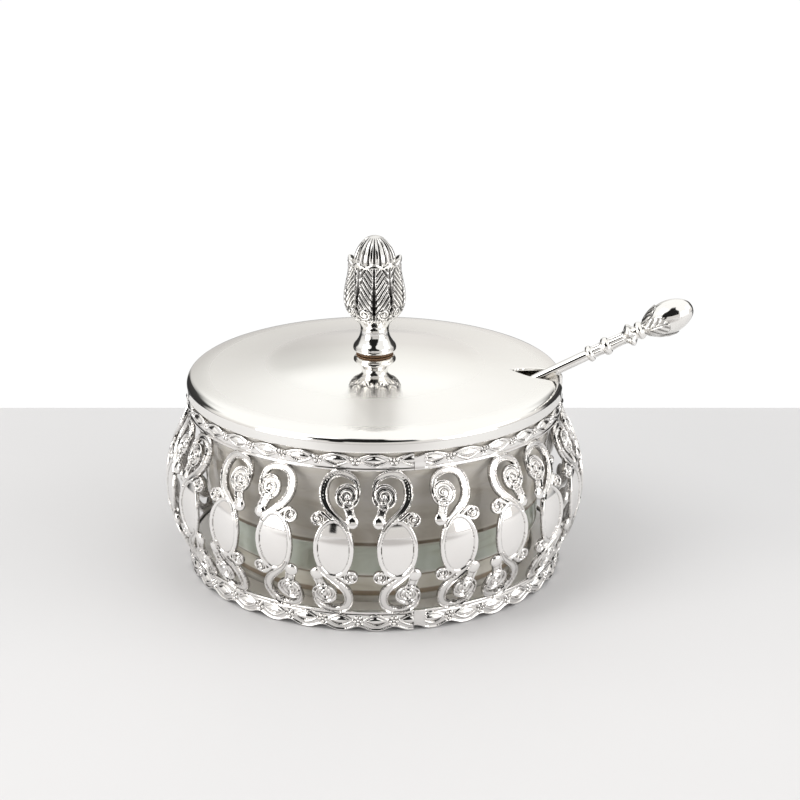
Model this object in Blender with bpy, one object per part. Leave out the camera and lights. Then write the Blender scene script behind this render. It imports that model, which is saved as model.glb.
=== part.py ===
"""Covered sugar bowl: an openwork plated holder on a pressed base, a pressed glass liner, a
shallow domed lid with a screwed-on leaf finial, and a spoon that leans out through a notch in
the lid.

Metres, +Z up. The origin is the centre of the flat underside of the base. -Y is the front, and
the spoon leans out towards +X. The helpers below work in millimetres and build() converts.
"""

import math

import bmesh
import bpy
from mathutils import Matrix, Vector
from mathutils.geometry import delaunay_2d_cdt

MM = 0.001
GAP = 0.3  # clearance left between pieces that touch on the real object

# --- holder -------------------------------------------------------------------------------
# Outer profile of the stamped openwork wall, (height, radius): straight rails, bulged between.
WALL_PROFILE = [
    (0.0, 53.8), (2.8, 53.8), (5.7, 53.95), (8.5, 55.1), (12.0, 56.9), (16.0, 58.5), (21.0, 59.7),
    (26.4, 60.0), (31.0, 59.4), (36.0, 57.8), (40.0, 56.0), (43.5, 54.3), (46.2, 53.5), (48.6, 53.4),
    (51.1, 53.4),
]
WALL_T = 0.9  # sheet thickness with its plate
BOTTOM_RAIL_Z = 5.7  # the plain upper line of the bottom border
TOP_RAIL_Z = 46.2  # the plain lower line of the top border
OVAL_Z = 26.4  # height of the middle of every oval
SCALLOP = 1.3  # depth of the scallops along both outer edges
MOTIFS = 11  # oval-and-scroll motifs in each of the two strips
MOTIF_PITCH = math.radians(360 / 22)
LOWER_STRETCH = 1.045  # the wall is a little longer below the ovals than above them
SEAM = math.radians(11.3)  # from the front (-Y) towards +X: where strip a ends and b begins
FIRST_OVAL = math.radians(5.8)  # oval of strip a next to the seam
FLAT_R = 58.0  # radius at which the motif's widths are laid out
BOTTOM_PERIODS, TOP_PERIODS = 17, 16  # lozenges along each strip
TAB = math.radians(3.6)  # plain lap tab at the seam

# --- base ---------------------------------------------------------------------------------
WELL_R, WELL_T, LEDGE_Z = 45.8, 0.8, 5.2

# --- liner --------------------------------------------------------------------------------
RIM_R, RIM_Z, FOOT_R = 52.2, 54.7, 44.6
FLOOR_Z = 6.8

# --- lid ----------------------------------------------------------------------------------
LID_R, LID_T = 53.55, 0.8
SKIRT_Z0, SHOULDER_Z = 51.4, 55.75
DOME_R, DOME_RISE = 52.2, 5.75
# Slope of the dome in degrees at each radius: steepest half way out, then flatter, and turned
# down at the edge. It is scaled to reach DOME_RISE.
DOME_SLOPE = [(0, 0), (8, 3.0), (16, 6.0), (26, 9.3), (35, 8.8), (43, 6.5), (48, 6.5), (50.5, 10), (DOME_R, 18)]
NOTCH_AZ, NOTCH_HALF, NOTCH_TIP = math.radians(-5.0), 4.4, 38.8

# --- finial -------------------------------------------------------------------------------
WASHER_Z, WASHER_T = SHOULDER_Z + DOME_RISE + GAP, 0.5
FINIAL_Z = WASHER_Z + WASHER_T + GAP
TIP_Z = 95.75
SCREW_R, SCREW_BORE = 1.5, 1.85

# --- spoon --------------------------------------------------------------------------------
SPOON_AZ, SPOON_RISE = math.radians(-3.5), math.radians(27.6)
SPOON_TIP = (88.8, 76.9)  # distance from the bowl's axis and height of the bud's tip
SPOON_L, BOWL_L, BOWL_HALF_W, BOWL_DEPTH, BOWL_T = 145.5, 38.5, 12.0, 6.5, 0.9


def clear_scene():
    for old in list(bpy.data.objects):
        bpy.data.objects.remove(old, do_unlink=True)


def material(name, rgb, roughness, metallic, transmission=0.0):
    mat = bpy.data.materials.new(name)
    mat.use_nodes = True
    shader = mat.node_tree.nodes["Principled BSDF"]
    shader.inputs["Base Color"].default_value = (*rgb, 1.0)
    shader.inputs["Roughness"].default_value = roughness
    shader.inputs["Metallic"].default_value = metallic
    shader.inputs["Transmission Weight"].default_value = transmission
    return mat


def add_object(name, mesh, mat, parent=None, sharp_deg=35):
    obj = bpy.data.objects.new(name, mesh)
    bpy.context.scene.collection.objects.link(obj)
    mesh.materials.append(mat)
    mesh.shade_smooth()
    mesh.set_sharp_from_angle(angle=math.radians(sharp_deg))
    obj.parent = parent
    return obj


def from_bmesh(name, bm):
    bmesh.ops.recalc_face_normals(bm, faces=bm.faces)
    mesh = bpy.data.meshes.new(name)
    bm.to_mesh(mesh)
    bm.free()
    return mesh


def turned(name, profile, steps, shape=None):
    """A solid turned about Z from a closed (radius, height) outline in mm, spun in `steps` steps.
    shape(angle, r, z) may return a new radius, for lobes and flutes. Points at radius 0 weld."""
    bm = bmesh.new()
    verts = [bm.verts.new((r * MM, 0, z * MM)) for r, z in profile]
    closed = profile[0][0] > 0 or profile[-1][0] > 0
    edges = [bm.edges.new(pair) for pair in zip(verts, verts[1:])]
    if closed:
        edges.append(bm.edges.new((verts[-1], verts[0])))
    bmesh.ops.spin(
        bm, geom=verts + edges, cent=(0, 0, 0), axis=(0, 0, 1), dvec=(0, 0, 0),
        angle=2 * math.pi, steps=steps, use_merge=True,
    )
    bmesh.ops.remove_doubles(bm, verts=bm.verts, dist=1e-6)
    if shape:
        for v in bm.verts:
            r = math.hypot(v.co.x, v.co.y) / MM
            if r > 1e-6:
                k = shape(math.atan2(v.co.y, v.co.x), r, v.co.z / MM) / r
                v.co.x *= k
                v.co.y *= k
    return from_bmesh(name, bm)


# ------------------------------------------------------------------------------------------
# Holder: two stamped strips
# ------------------------------------------------------------------------------------------
def smooth_profile(points, per_span=6):
    """Catmull-Rom curve through (height, radius) points."""
    ext = [points[0]] + points + [points[-1]]
    out = []
    for i in range(1, len(ext) - 2):
        p0, p1, p2, p3 = ext[i - 1:i + 3]
        for k in range(per_span):
            t = k / per_span
            out.append(tuple(
                0.5 * (2 * b + (c - a) * t + (2 * a - 5 * b + 4 * c - d) * t * t
                       + (3 * b - a - 3 * c + d) * t ** 3)
                for a, b, c, d in zip(p0, p1, p2, p3)
            ))
    out.append(points[-1])
    return out


class Wall:
    """The bulged wall, unrolled: s is the length along its profile from the bottom edge."""

    def __init__(self):
        self.points = smooth_profile(WALL_PROFILE)
        self.s = [0.0]
        for (z0, r0), (z1, r1) in zip(self.points, self.points[1:]):
            self.s.append(self.s[-1] + math.hypot(z1 - z0, r1 - r0))

    def s_of_z(self, z):
        for i in range(len(self.points) - 1):
            z0, z1 = self.points[i][0], self.points[i + 1][0]
            if z <= z1 or i == len(self.points) - 2:
                return self.s[i] + (z - z0) / (z1 - z0) * (self.s[i + 1] - self.s[i])

    def at(self, s):
        """(height, radius, inward normal (dz, dr)) at the length s."""
        for i in range(len(self.s) - 1):
            if s <= self.s[i + 1] or i == len(self.s) - 2:
                t = (s - self.s[i]) / (self.s[i + 1] - self.s[i])
                z0, r0 = self.points[i]
                z1, r1 = self.points[i + 1]
                tz, tr = z1 - z0, r1 - r0
                n = math.hypot(tz, tr)
                return z0 + t * (z1 - z0), r0 + t * (r1 - r0), (tr / n, -tz / n)

    def place(self, angle, s, depth):
        z, r, (nz, nr) = self.at(s)
        z, r = z + depth * nz, r + depth * nr
        return Vector((r * math.sin(angle), -r * math.cos(angle), z)) * MM


WALL = Wall()
S_OVAL = WALL.s_of_z(OVAL_Z)


def ellipse(cu, cs, a, b, n, turn=0.0):
    return [(cu + a * math.cos(turn + 2 * math.pi * k / n), cs + b * math.sin(turn + 2 * math.pi * k / n))
            for k in range(n)]


def ribbon(path, widths):
    """A band of the given half-widths along a path, as one outline."""
    left, right = [], []
    for i, (u, s) in enumerate(path):
        u0, s0 = path[max(i - 1, 0)]
        u1, s1 = path[min(i + 1, len(path) - 1)]
        du, ds = u1 - u0, s1 - s0
        n = math.hypot(du, ds)
        w = widths[i] if isinstance(widths, list) else widths
        left.append((u - ds / n * w, s + du / n * w))
        right.append((u + ds / n * w, s - du / n * w))
    return left + right[::-1]


def motif_outlines():
    """One motif about its oval's centre: u to the right, s up. The lower half repeats the upper
    half turned by 180 degrees."""
    half = [
        # scroll disc, and the band that leaves it, passes over the top and down to the oval
        ellipse(-2.9, 14.3, 3.7, 3.7, 7, 0.2),
        ribbon([(-5.4, 16.0), (-3.2, 20.0), (1.4, 20.2), (4.0, 16.0), (2.7, 11.4), (-2.4, 7.2)], 1.2),
        # drop with its neck under the scroll
        ribbon([(-3.4, 11.5), (-4.3, 8.0), (-4.3, 6.2)], [0.7, 1.5, 0.8]),
        # small volute on the other side
        [(0.6, 8.0), (2.8, 6.2), (5.2, 6.4), (6.0, 8.2), (4.5, 9.7), (2.4, 9.4)],
    ]
    lower = [[(-u, -s * LOWER_STRETCH) for u, s in shape] for shape in half]
    return [ellipse(0, 0, 5.3, 8.5, 12)] + half + lower


def strip_outlines(start, end, ovals, flowers_bottom, flowers_top):
    """Every outline of one strip, as (angle * FLAT_R, s) lists. start and end are angles."""
    shapes = []
    s_low, s_high = WALL.s_of_z(BOTTOM_RAIL_Z), WALL.s_of_z(TOP_RAIL_Z)
    s_top = WALL.s_of_z(WALL_PROFILE[-1][0])
    u0, u1 = start * FLAT_R, end * FLAT_R

    def band(edge, rail, first, pitch, sign):
        # the scalloped edge: its low points lie at the flowers, its peaks at the lozenges
        knots = [u0]
        step = pitch * FLAT_R / 2
        k = math.ceil((u0 + 0.4 * step - first * FLAT_R) / step)
        while first * FLAT_R + k * step < u1 - 0.4 * step:
            knots.append(first * FLAT_R + k * step)
            k += 1
        knots.append(u1)
        wave = []
        for u in knots:
            phase = (u / FLAT_R - first) / pitch
            wave.append((u, edge + sign * SCALLOP * (0.5 + 0.5 * math.cos(2 * math.pi * phase))))
        n = 30
        straight = [(u0 + (u1 - u0) * i / n, rail) for i in range(n + 1)]
        return wave + straight[::-1]

    usable = end - start - TAB
    shapes.append(band(0.0, s_low, flowers_bottom, usable / BOTTOM_PERIODS, 1))
    shapes.append(band(s_top, s_high, flowers_top, usable / TOP_PERIODS, -1))
    for i, angle in enumerate(ovals):
        side = 1 if i % 2 == 0 else -1  # neighbours mirror each other
        for outline in motif_outlines():
            shapes.append([(angle * FLAT_R + side * u, S_OVAL + s) for u, s in outline])
    return shapes


def counter_clockwise(shape):
    area = sum(a[0] * b[1] - b[0] * a[1] for a, b in zip(shape, shape[1:] + shape[:1]))
    return shape if area > 0 else shape[::-1]


def covers(shapes, x, y):
    """Whether the point lies inside any of the outlines."""
    for shape, (low_u, high_u) in shapes:
        if not low_u <= x <= high_u:
            continue
        inside = False
        for (u0, s0), (u1, s1) in zip(shape, shape[1:] + shape[:1]):
            if (s0 > y) != (s1 > y) and x < u0 + (y - s0) / (s1 - s0) * (u1 - u0):
                inside = not inside
        if inside:
            return True
    return False


def strip_mesh(name, start, end, ovals, flowers_bottom, flowers_top):
    verts, faces, shapes = [], [], []
    for shape in strip_outlines(start, end, ovals, flowers_bottom, flowers_top):
        shape = counter_clockwise(shape)
        shapes.append((shape, (min(u for u, _ in shape), max(u for u, _ in shape))))
        faces.append(list(range(len(verts), len(verts) + len(shape))))
        verts += [Vector(p) for p in shape]
    # First pass: the union of the outlines. Its border is kept and everything inside is dropped.
    flat, _, tris, _, _, sources = delaunay_2d_cdt(verts, [], faces, 1, 1e-3)
    sides = {}
    for t, src in zip(tris, sources):
        if src:
            for p, q in ((t[0], t[1]), (t[1], t[2]), (t[2], t[0])):
                sides[(p, q)] = True
    border = [(p, q) for p, q in sides if (q, p) not in sides]
    keep = sorted({i for pair in border for i in pair})
    new = {old: k for k, old in enumerate(keep)}
    points = [flat[i].copy() for i in keep]
    # Three points down each oval make it follow the bulge.
    points += [Vector((angle * FLAT_R, S_OVAL + d)) for angle in ovals for d in (-4.2, 0.0, 4.2)]
    flat, _, tris, _, _, _ = delaunay_2d_cdt(points, [(new[p], new[q]) for p, q in border], [], 1, 1e-4)
    tris = [list(t) for t in tris
            if covers(shapes, sum(flat[i].x for i in t) / 3, sum(flat[i].y for i in t) / 3)]
    used = sorted({i for t in tris for i in t})
    new = {old: k for k, old in enumerate(used)}
    bm = bmesh.new()
    outer = [bm.verts.new(WALL.place(flat[i].x / FLAT_R, flat[i].y, 0.0)) for i in used]
    inner = [bm.verts.new(WALL.place(flat[i].x / FLAT_R, flat[i].y, WALL_T)) for i in used]
    seen = {}
    for t in tris:
        a, b, c = (new[i] for i in t)
        bm.faces.new((outer[a], outer[b], outer[c]))
        bm.faces.new((inner[c], inner[b], inner[a]))
        for p, q in ((a, b), (b, c), (c, a)):
            seen[(p, q)] = True
    for p, q in seen:
        if (q, p) not in seen:
            bm.faces.new((outer[q], outer[p], inner[p], inner[q]))
    return from_bmesh(name, bm)


# ------------------------------------------------------------------------------------------
# Turned pieces
# ------------------------------------------------------------------------------------------
def base_profile():
    out_r = WALL_PROFILE[0][1] - WALL_T - GAP
    return [
        (0, WELL_T), (WELL_R, WELL_T), (WELL_R, LEDGE_Z), (out_r - 0.3, LEDGE_Z), (out_r, LEDGE_Z - 0.3),
        (out_r, LEDGE_Z - WELL_T), (WELL_R + WELL_T, LEDGE_Z - WELL_T), (WELL_R + WELL_T, 0.4),
        (WELL_R + WELL_T - 0.4, 0), (0, 0),
    ]


def liner_profile():
    z0 = WELL_T + GAP
    return [
        (0, FLOOR_Z), (38, FLOOR_Z + 0.8), (42.4, FLOOR_Z + 3.6), (45.0, 25.0), (46.6, 38.0),
        (49.0, 46.5), (49.2, RIM_Z - 0.5), (49.7, RIM_Z),
        (RIM_R - 0.5, RIM_Z), (RIM_R, RIM_Z - 0.5), (RIM_R, 46.2), (49.6, 38.0), (48.6, 25.2),
        (48.6, 22.8), (47.2, 22.0), (47.0, 13.6), (45.6, 12.6), (45.2, 6.8), (FOOT_R, 5.6),
        (FOOT_R, z0 + 0.5), (FOOT_R - 0.5, z0), (0, z0),
    ]


def fall(r):
    """Unscaled drop of the dome from its middle to radius r."""
    total = 0.0
    for (r0, a0), (r1, a1) in zip(DOME_SLOPE, DOME_SLOPE[1:]):
        if r <= r0:
            break
        end = min(r, r1)
        slope0, slope1 = math.tan(math.radians(a0)), math.tan(math.radians(a1))
        at_end = slope0 + (slope1 - slope0) * (end - r0) / (r1 - r0)
        total += (slope0 + at_end) / 2 * (end - r0)
    return total


def dome_z(r):
    return SHOULDER_Z + DOME_RISE * (1 - fall(r) / fall(DOME_R))


def lid_profile():
    rings = [SCREW_BORE, 6.4, 13, 20, 27, 35, 43, 49.5, DOME_R]
    top = [(r, dome_z(max(r, 6.4)) if r < 6.5 else dome_z(r)) for r in rings]
    under = [(r, z - LID_T) for r, z in top]
    return top + [
        (LID_R - 0.45, SHOULDER_Z), (LID_R, SHOULDER_Z - 0.45), (LID_R, SKIRT_Z0),
        (LID_R - LID_T, SKIRT_Z0), (LID_R - LID_T, SHOULDER_Z - LID_T),
    ] + under[::-1]


def notch_cutter():
    """A prism with a pointed inner end, run out through the rim along the notch's direction."""
    outline = [(NOTCH_TIP, 0.0)]
    for r, half in ((40.6, 1.7), (43.0, 3.0), (46.0, 3.9), (49.0, NOTCH_HALF), (60.0, NOTCH_HALF)):
        outline.append((r, -half))
    outline += [(r, -half) for r, half in outline[:0:-1]]
    bm = bmesh.new()
    base = [bm.verts.new((x * MM, y * MM, 44 * MM)) for x, y in outline]
    face = bm.faces.new(base)
    up = bmesh.ops.extrude_face_region(bm, geom=[face])
    lifted = [g for g in up["geom"] if isinstance(g, bmesh.types.BMVert)]
    bmesh.ops.translate(bm, vec=(0, 0, 26 * MM), verts=lifted)
    cutter = bpy.data.objects.new("notch_cutter", from_bmesh("notch_cutter", bm))
    bpy.context.scene.collection.objects.link(cutter)
    cutter.rotation_euler = (0, 0, NOTCH_AZ)
    cutter.hide_render = True
    cutter.display_type = "WIRE"
    return cutter


def finial_profile():
    z = FINIAL_Z
    return [
        (0, z + 8.4), (SCREW_BORE, z + 8.2), (SCREW_BORE, z), (5.3, z), (5.9, z + 0.5), (6.1, z + 1.3),
        (5.2, z + 2.7), (4.25, z + 4.4), (4.0, z + 6.2), (4.9, z + 8.2), (6.7, z + 10.4), (8.0, z + 12.8),
        (8.5, z + 15.2), (8.2, z + 18.5), (7.6, z + 22.0), (7.35, z + 24.4), (7.8, z + 26.6),
        (7.0, z + 26.9), (5.9, z + 25.6), (5.8, z + 27.2), (4.8, z + 29.8), (2.9, TIP_Z - 1.3),
        (0, TIP_Z),
    ]


def finial_lobes(angle, r, z):
    """Ten leaves round the cup, five of them standing prouder."""
    rise = z - FINIAL_Z
    if 9.5 < rise < 26.95 and r > 6.2:
        grow = min(1.0, (rise - 9.5) / 4.0)
        return r * (1 + grow * (0.025 * math.cos(5 * angle) + 0.025 * math.cos(10 * angle)))
    return r


# ------------------------------------------------------------------------------------------
# Spoon, in its own frame: origin where it crosses the rim, local Z out along the stem
# ------------------------------------------------------------------------------------------
TIP_T = 41.0  # from the spoon's origin to the bud's tip


def handle_profile():
    """(radius, distance from the bud's tip)."""
    down = [
        (0, 0), (1.6, 0.5), (3.2, 2.0), (4.5, 4.6), (4.8, 7.2), (4.4, 10.2), (3.2, 13.0), (2.0, 14.7),
        (2.3, 15.5), (2.6, 16.2), (2.3, 16.9), (1.8, 17.3), (2.4, 17.9), (3.4, 19.05), (2.4, 20.2),
        (1.8, 20.8), (1.9, 25.4), (2.5, 25.9), (2.6, 26.5), (2.5, 27.1), (1.8, 27.5), (1.75, 30.6),
        (2.3, 30.9), (2.35, 31.5), (2.3, 32.1), (1.5, 32.5), (1.5, 96.0), (1.7, 104.0),
        (1.3, SPOON_L - BOWL_L - GAP), (0, SPOON_L - BOWL_L - GAP),
    ]
    return [(r, TIP_T - t) for r, t in down]


def handle_lobes(angle, r, z):
    """Four beads form the crown."""
    t = TIP_T - z
    if 18.5 < t < 19.6 and r > 3:
        return 3.35 + 0.8 * math.cos(4 * angle)
    return r


def bowl_mesh():
    """An egg-shaped dished sheet. Local Y is up out of the bowl, local -Z is towards its tip."""
    centre = TIP_T - (SPOON_L - BOWL_L / 2)
    around, rings = 22, (0.42, 0.74, 0.93, 1.0)
    bm = bmesh.new()

    def ring(k, lower):
        f = rings[k]
        out = []
        for i in range(around):
            a = 2 * math.pi * i / around
            egg = 1 - 0.16 * math.cos(a)  # narrower towards the stem
            x = BOWL_HALF_W * f * math.sin(a) * egg
            z = centre + BOWL_L / 2 * f * math.cos(a)
            y = -BOWL_DEPTH * (1 - f * f) - (BOWL_T if lower else 0.0)
            out.append(bm.verts.new((x * MM, y * MM, z * MM)))
        return out

    upper, lower = ([ring(k, low) for k in range(4)] for low in (False, True))
    for sheet, depth in ((upper, 0.0), (lower, BOWL_T)):
        middle = bm.verts.new((0, (-BOWL_DEPTH - depth) * MM, centre * MM))
        for i in range(around):
            bm.faces.new((middle, sheet[0][i], sheet[0][i - 1]))
        for a, b in zip(sheet, sheet[1:]):
            for i in range(around):
                bm.faces.new((a[i - 1], a[i], b[i], b[i - 1]))
    for i in range(around):
        bm.faces.new((upper[-1][i - 1], upper[-1][i], lower[-1][i], lower[-1][i - 1]))
    return from_bmesh("spoon_bowl", bm)


def empty(name, location, rotation=None):
    obj = bpy.data.objects.new(name, None)
    bpy.context.scene.collection.objects.link(obj)
    obj.matrix_world = Matrix.Translation(location) @ (rotation or Matrix.Identity(4))
    return obj


def build():
    clear_scene()
    plate = material("silver_plate", (0.93, 0.92, 0.90), 0.12, 1.0)
    glass = material("pressed_glass", (0.80, 0.83, 0.78), 0.08, 0.0, 0.9)
    fibre = material("brown_fibre", (0.20, 0.11, 0.06), 0.8, 0.0)
    steel = material("plain_steel", (0.62, 0.61, 0.60), 0.3, 1.0)

    # holder
    usable = math.pi - TAB
    gap = GAP / 2 / FLAT_R
    start_a = SEAM - math.pi
    add_object("gallery_strip_a", strip_mesh(
        "gallery_strip_a", start_a + gap, SEAM - gap,
        [FIRST_OVAL - i * MOTIF_PITCH for i in range(MOTIFS)],
        SEAM - usable / BOTTOM_PERIODS / 2, SEAM - usable / TOP_PERIODS / 2,
    ), plate)
    add_object("gallery_strip_b", strip_mesh(
        "gallery_strip_b", SEAM + gap, SEAM + math.pi - gap,
        [FIRST_OVAL + (i + 1) * MOTIF_PITCH for i in range(MOTIFS)],
        SEAM + math.pi - usable / BOTTOM_PERIODS / 2, SEAM + math.pi - usable / TOP_PERIODS / 2,
    ), plate)
    add_object("base_plate", turned("base_plate", base_profile(), 48), plate)

    # liner
    liner_axis = empty("liner_lift_axis", (0, 0, 0))
    add_object("glass_liner", turned("glass_liner", liner_profile(), 40), glass, liner_axis)

    # lid
    lid_axis = empty("lid_lift_axis", (0, 0, 0))
    shell = add_object("lid_shell", turned("lid_shell", lid_profile(), 48), plate, lid_axis)
    cut = shell.modifiers.new("notch", "BOOLEAN")
    cut.operation = "DIFFERENCE"
    cut.object = notch_cutter()
    add_object("lid_finial", turned("lid_finial", finial_profile(), 20, finial_lobes), plate, lid_axis)
    z = WASHER_Z
    add_object("finial_seat_washer", turned("finial_seat_washer", [
        (SCREW_BORE, z + WASHER_T), (5.5, z + WASHER_T), (5.5, z), (SCREW_BORE, z),
    ], 20), fibre, lid_axis)
    z = SHOULDER_Z + DOME_RISE - LID_T - 0.15 - GAP
    add_object("finial_lock_washer", turned("finial_lock_washer", [
        (SCREW_BORE, z), (3.7, z), (3.7, z - 0.6), (SCREW_BORE, z - 0.6),
    ], 16), steel, lid_axis)
    z -= 0.6 + GAP
    add_object("finial_screw", turned("finial_screw", [
        (0, FINIAL_Z + 7.4), (SCREW_R - 0.4, FINIAL_Z + 7.4), (SCREW_R, FINIAL_Z + 6.9), (SCREW_R, z),
        (3.1, z), (3.1, z - 1.2), (2.3, z - 1.9), (0, z - 2.1),
    ], 16), steel, lid_axis)

    # spoon
    out = Vector((math.cos(SPOON_RISE) * math.cos(SPOON_AZ), math.cos(SPOON_RISE) * math.sin(SPOON_AZ),
                  math.sin(SPOON_RISE)))
    up = Vector((-math.sin(SPOON_RISE) * math.cos(SPOON_AZ), -math.sin(SPOON_RISE) * math.sin(SPOON_AZ),
                 math.cos(SPOON_RISE)))
    side = up.cross(out)
    turn = Matrix((side, up, out)).transposed().to_4x4()
    tip = Vector((SPOON_TIP[0] * math.cos(SPOON_AZ), SPOON_TIP[0] * math.sin(SPOON_AZ), SPOON_TIP[1]))
    spoon_axis = empty("spoon_draw_axis", (tip - out * TIP_T) * MM, turn)
    add_object("spoon_handle", turned("spoon_handle", handle_profile(), 12, handle_lobes), plate, spoon_axis)
    add_object("spoon_bowl", bowl_mesh(), plate, spoon_axis)


build()
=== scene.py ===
"""Looks of the covered sugar bowl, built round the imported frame.

The holder's openwork strips, the lid, the finial, the spoon, the liner, the base and the small
fixings are rebuilt here as fine closed meshes with their stamped or cast relief, on the frame's
own dimensions. Lengths in the helpers are millimetres.
"""

import math

import bpy
import numpy as np
from mathutils import Matrix, Vector


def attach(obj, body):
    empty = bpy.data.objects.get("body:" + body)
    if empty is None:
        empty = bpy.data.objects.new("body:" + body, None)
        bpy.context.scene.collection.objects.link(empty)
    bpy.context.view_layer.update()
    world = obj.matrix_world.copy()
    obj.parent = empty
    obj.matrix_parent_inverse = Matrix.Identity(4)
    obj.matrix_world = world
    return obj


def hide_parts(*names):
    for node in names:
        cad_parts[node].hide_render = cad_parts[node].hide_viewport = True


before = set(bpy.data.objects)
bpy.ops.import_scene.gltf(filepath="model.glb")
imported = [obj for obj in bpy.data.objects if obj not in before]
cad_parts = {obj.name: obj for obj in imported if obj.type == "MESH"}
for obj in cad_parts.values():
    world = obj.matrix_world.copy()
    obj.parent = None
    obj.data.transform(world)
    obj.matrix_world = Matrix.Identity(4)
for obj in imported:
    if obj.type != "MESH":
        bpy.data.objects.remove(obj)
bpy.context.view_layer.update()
MM = 0.001
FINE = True

# --- the frame's own dimensions, in mm -------------------------------------------------------
WALL_PROFILE = [
    (0.0, 53.8), (2.8, 53.8), (5.7, 53.95), (8.5, 55.1), (12.0, 56.9), (16.0, 58.5), (21.0, 59.7),
    (26.4, 60.0), (31.0, 59.4), (36.0, 57.8), (40.0, 56.0), (43.5, 54.3), (46.2, 53.5), (48.6, 53.4),
    (51.1, 53.4),
]
WALL_T = 0.9
BOTTOM_RAIL_Z, TOP_RAIL_Z, OVAL_Z = 5.7, 46.2, 26.4
MOTIFS = 11
MOTIF_PITCH = math.radians(360 / 22)
LOWER_STRETCH = 1.045
SEAM = math.radians(11.3)
FIRST_OVAL = math.radians(5.8)
FLAT_R = 58.0
TAB = math.radians(3.6)
GAP = 0.3
WELL_R, WELL_T, LEDGE_Z = 45.8, 0.8, 5.2
RIM_R, RIM_Z, FOOT_R, FLOOR_Z = 52.2, 54.7, 44.6, 6.8
LID_R, LID_T, SKIRT_Z0, SHOULDER_Z = 53.55, 0.8, 51.4, 55.75
DOME_R, DOME_RISE = 52.2, 5.75
DOME_SLOPE = [(0, 0), (8, 3.0), (16, 6.0), (26, 9.3), (35, 8.8), (43, 6.5), (48, 6.5), (50.5, 10), (DOME_R, 18)]
NOTCH_AZ, NOTCH_HALF, NOTCH_TIP = math.radians(-5.0), 4.4, 38.8
WASHER_Z, WASHER_T = SHOULDER_Z + DOME_RISE + GAP, 0.5
FINIAL_Z = WASHER_Z + WASHER_T + GAP
TIP_Z = 95.75
SCREW_R, SCREW_BORE = 1.5, 1.85
SPOON_AZ, SPOON_RISE = math.radians(-3.5), math.radians(27.6)
SPOON_TIP = (88.8, 76.9)
SPOON_L, BOWL_L, BOWL_HALF_W, BOWL_DEPTH, BOWL_T = 145.5, 38.5, 12.0, 6.5, 0.9
TIP_T = 41.0


# ---------------------------------------------------------------------------------------------
# Helpers
# ---------------------------------------------------------------------------------------------
def catmull(points, per):
    """Catmull-Rom curve through points of any width, `per` steps a span."""
    p = np.array(points, float)
    ext = np.vstack([p[:1], p, p[-1:]])
    out = []
    t = (np.arange(per) / per)[:, None]
    for i in range(1, len(ext) - 2):
        a, b, c, d = ext[i - 1:i + 3]
        out.append(0.5 * (2 * b + (c - a) * t + (2 * a - 5 * b + 4 * c - d) * t ** 2
                          + (3 * b - a - 3 * c + d) * t ** 3))
    out.append(p[-1:])
    return np.vstack(out)


def smooth(x, lo, hi):
    t = np.clip((x - lo) / (hi - lo), 0, 1)
    return t * t * (3 - 2 * t)


def round_top(x):
    """1 in the middle, 0 at |x| = 1, a circle's arc between."""
    return np.sqrt(np.clip(1 - x * x, 0, None))


def mesh_of(name, co, polys, sharp_deg=40.0, attributes=None):
    """A mesh from an (n, 3) array in mm and a list of (m, k) index arrays."""
    polys = [np.asarray(p, np.int32) for p in polys if len(p)]
    index = np.concatenate([p.ravel() for p in polys])
    sizes = np.concatenate([np.full(len(p), p.shape[1], np.int32) for p in polys])
    starts = np.concatenate([[0], np.cumsum(sizes)[:-1]]).astype(np.int32)
    mesh = bpy.data.meshes.new(name)
    mesh.vertices.add(len(co))
    mesh.vertices.foreach_set("co", (np.asarray(co, float) * MM).astype(np.float32).ravel())
    mesh.loops.add(len(index))
    mesh.loops.foreach_set("vertex_index", index)
    mesh.polygons.add(len(sizes))
    mesh.polygons.foreach_set("loop_start", starts)
    mesh.update(calc_edges=True)
    mesh.validate()
    for key, values in (attributes or {}).items():
        layer = mesh.attributes.new(key, "FLOAT", "POINT")
        layer.data.foreach_set("value", np.asarray(values, np.float32))
    mesh.shade_smooth()
    if sharp_deg < 180:
        mesh.set_sharp_from_angle(angle=math.radians(sharp_deg))
    return mesh


def piece(name, mesh, material, body, nodes=()):
    obj = bpy.data.objects.new(name, mesh)
    bpy.context.scene.collection.objects.link(obj)
    mesh.materials.append(material)
    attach(obj, body)
    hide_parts(*nodes)
    return obj


WALK = []  # for each of the 16 cases: the polygon round the cell, c0-c3 corners, 4-7 edges
for case in range(16):
    row = []
    for k in range(4):
        if case >> k & 1:
            row.append(k)
        if (case >> k & 1) != (case >> ((k + 1) % 4) & 1):
            row.append(4 + k)
    WALK.append(row)


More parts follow.
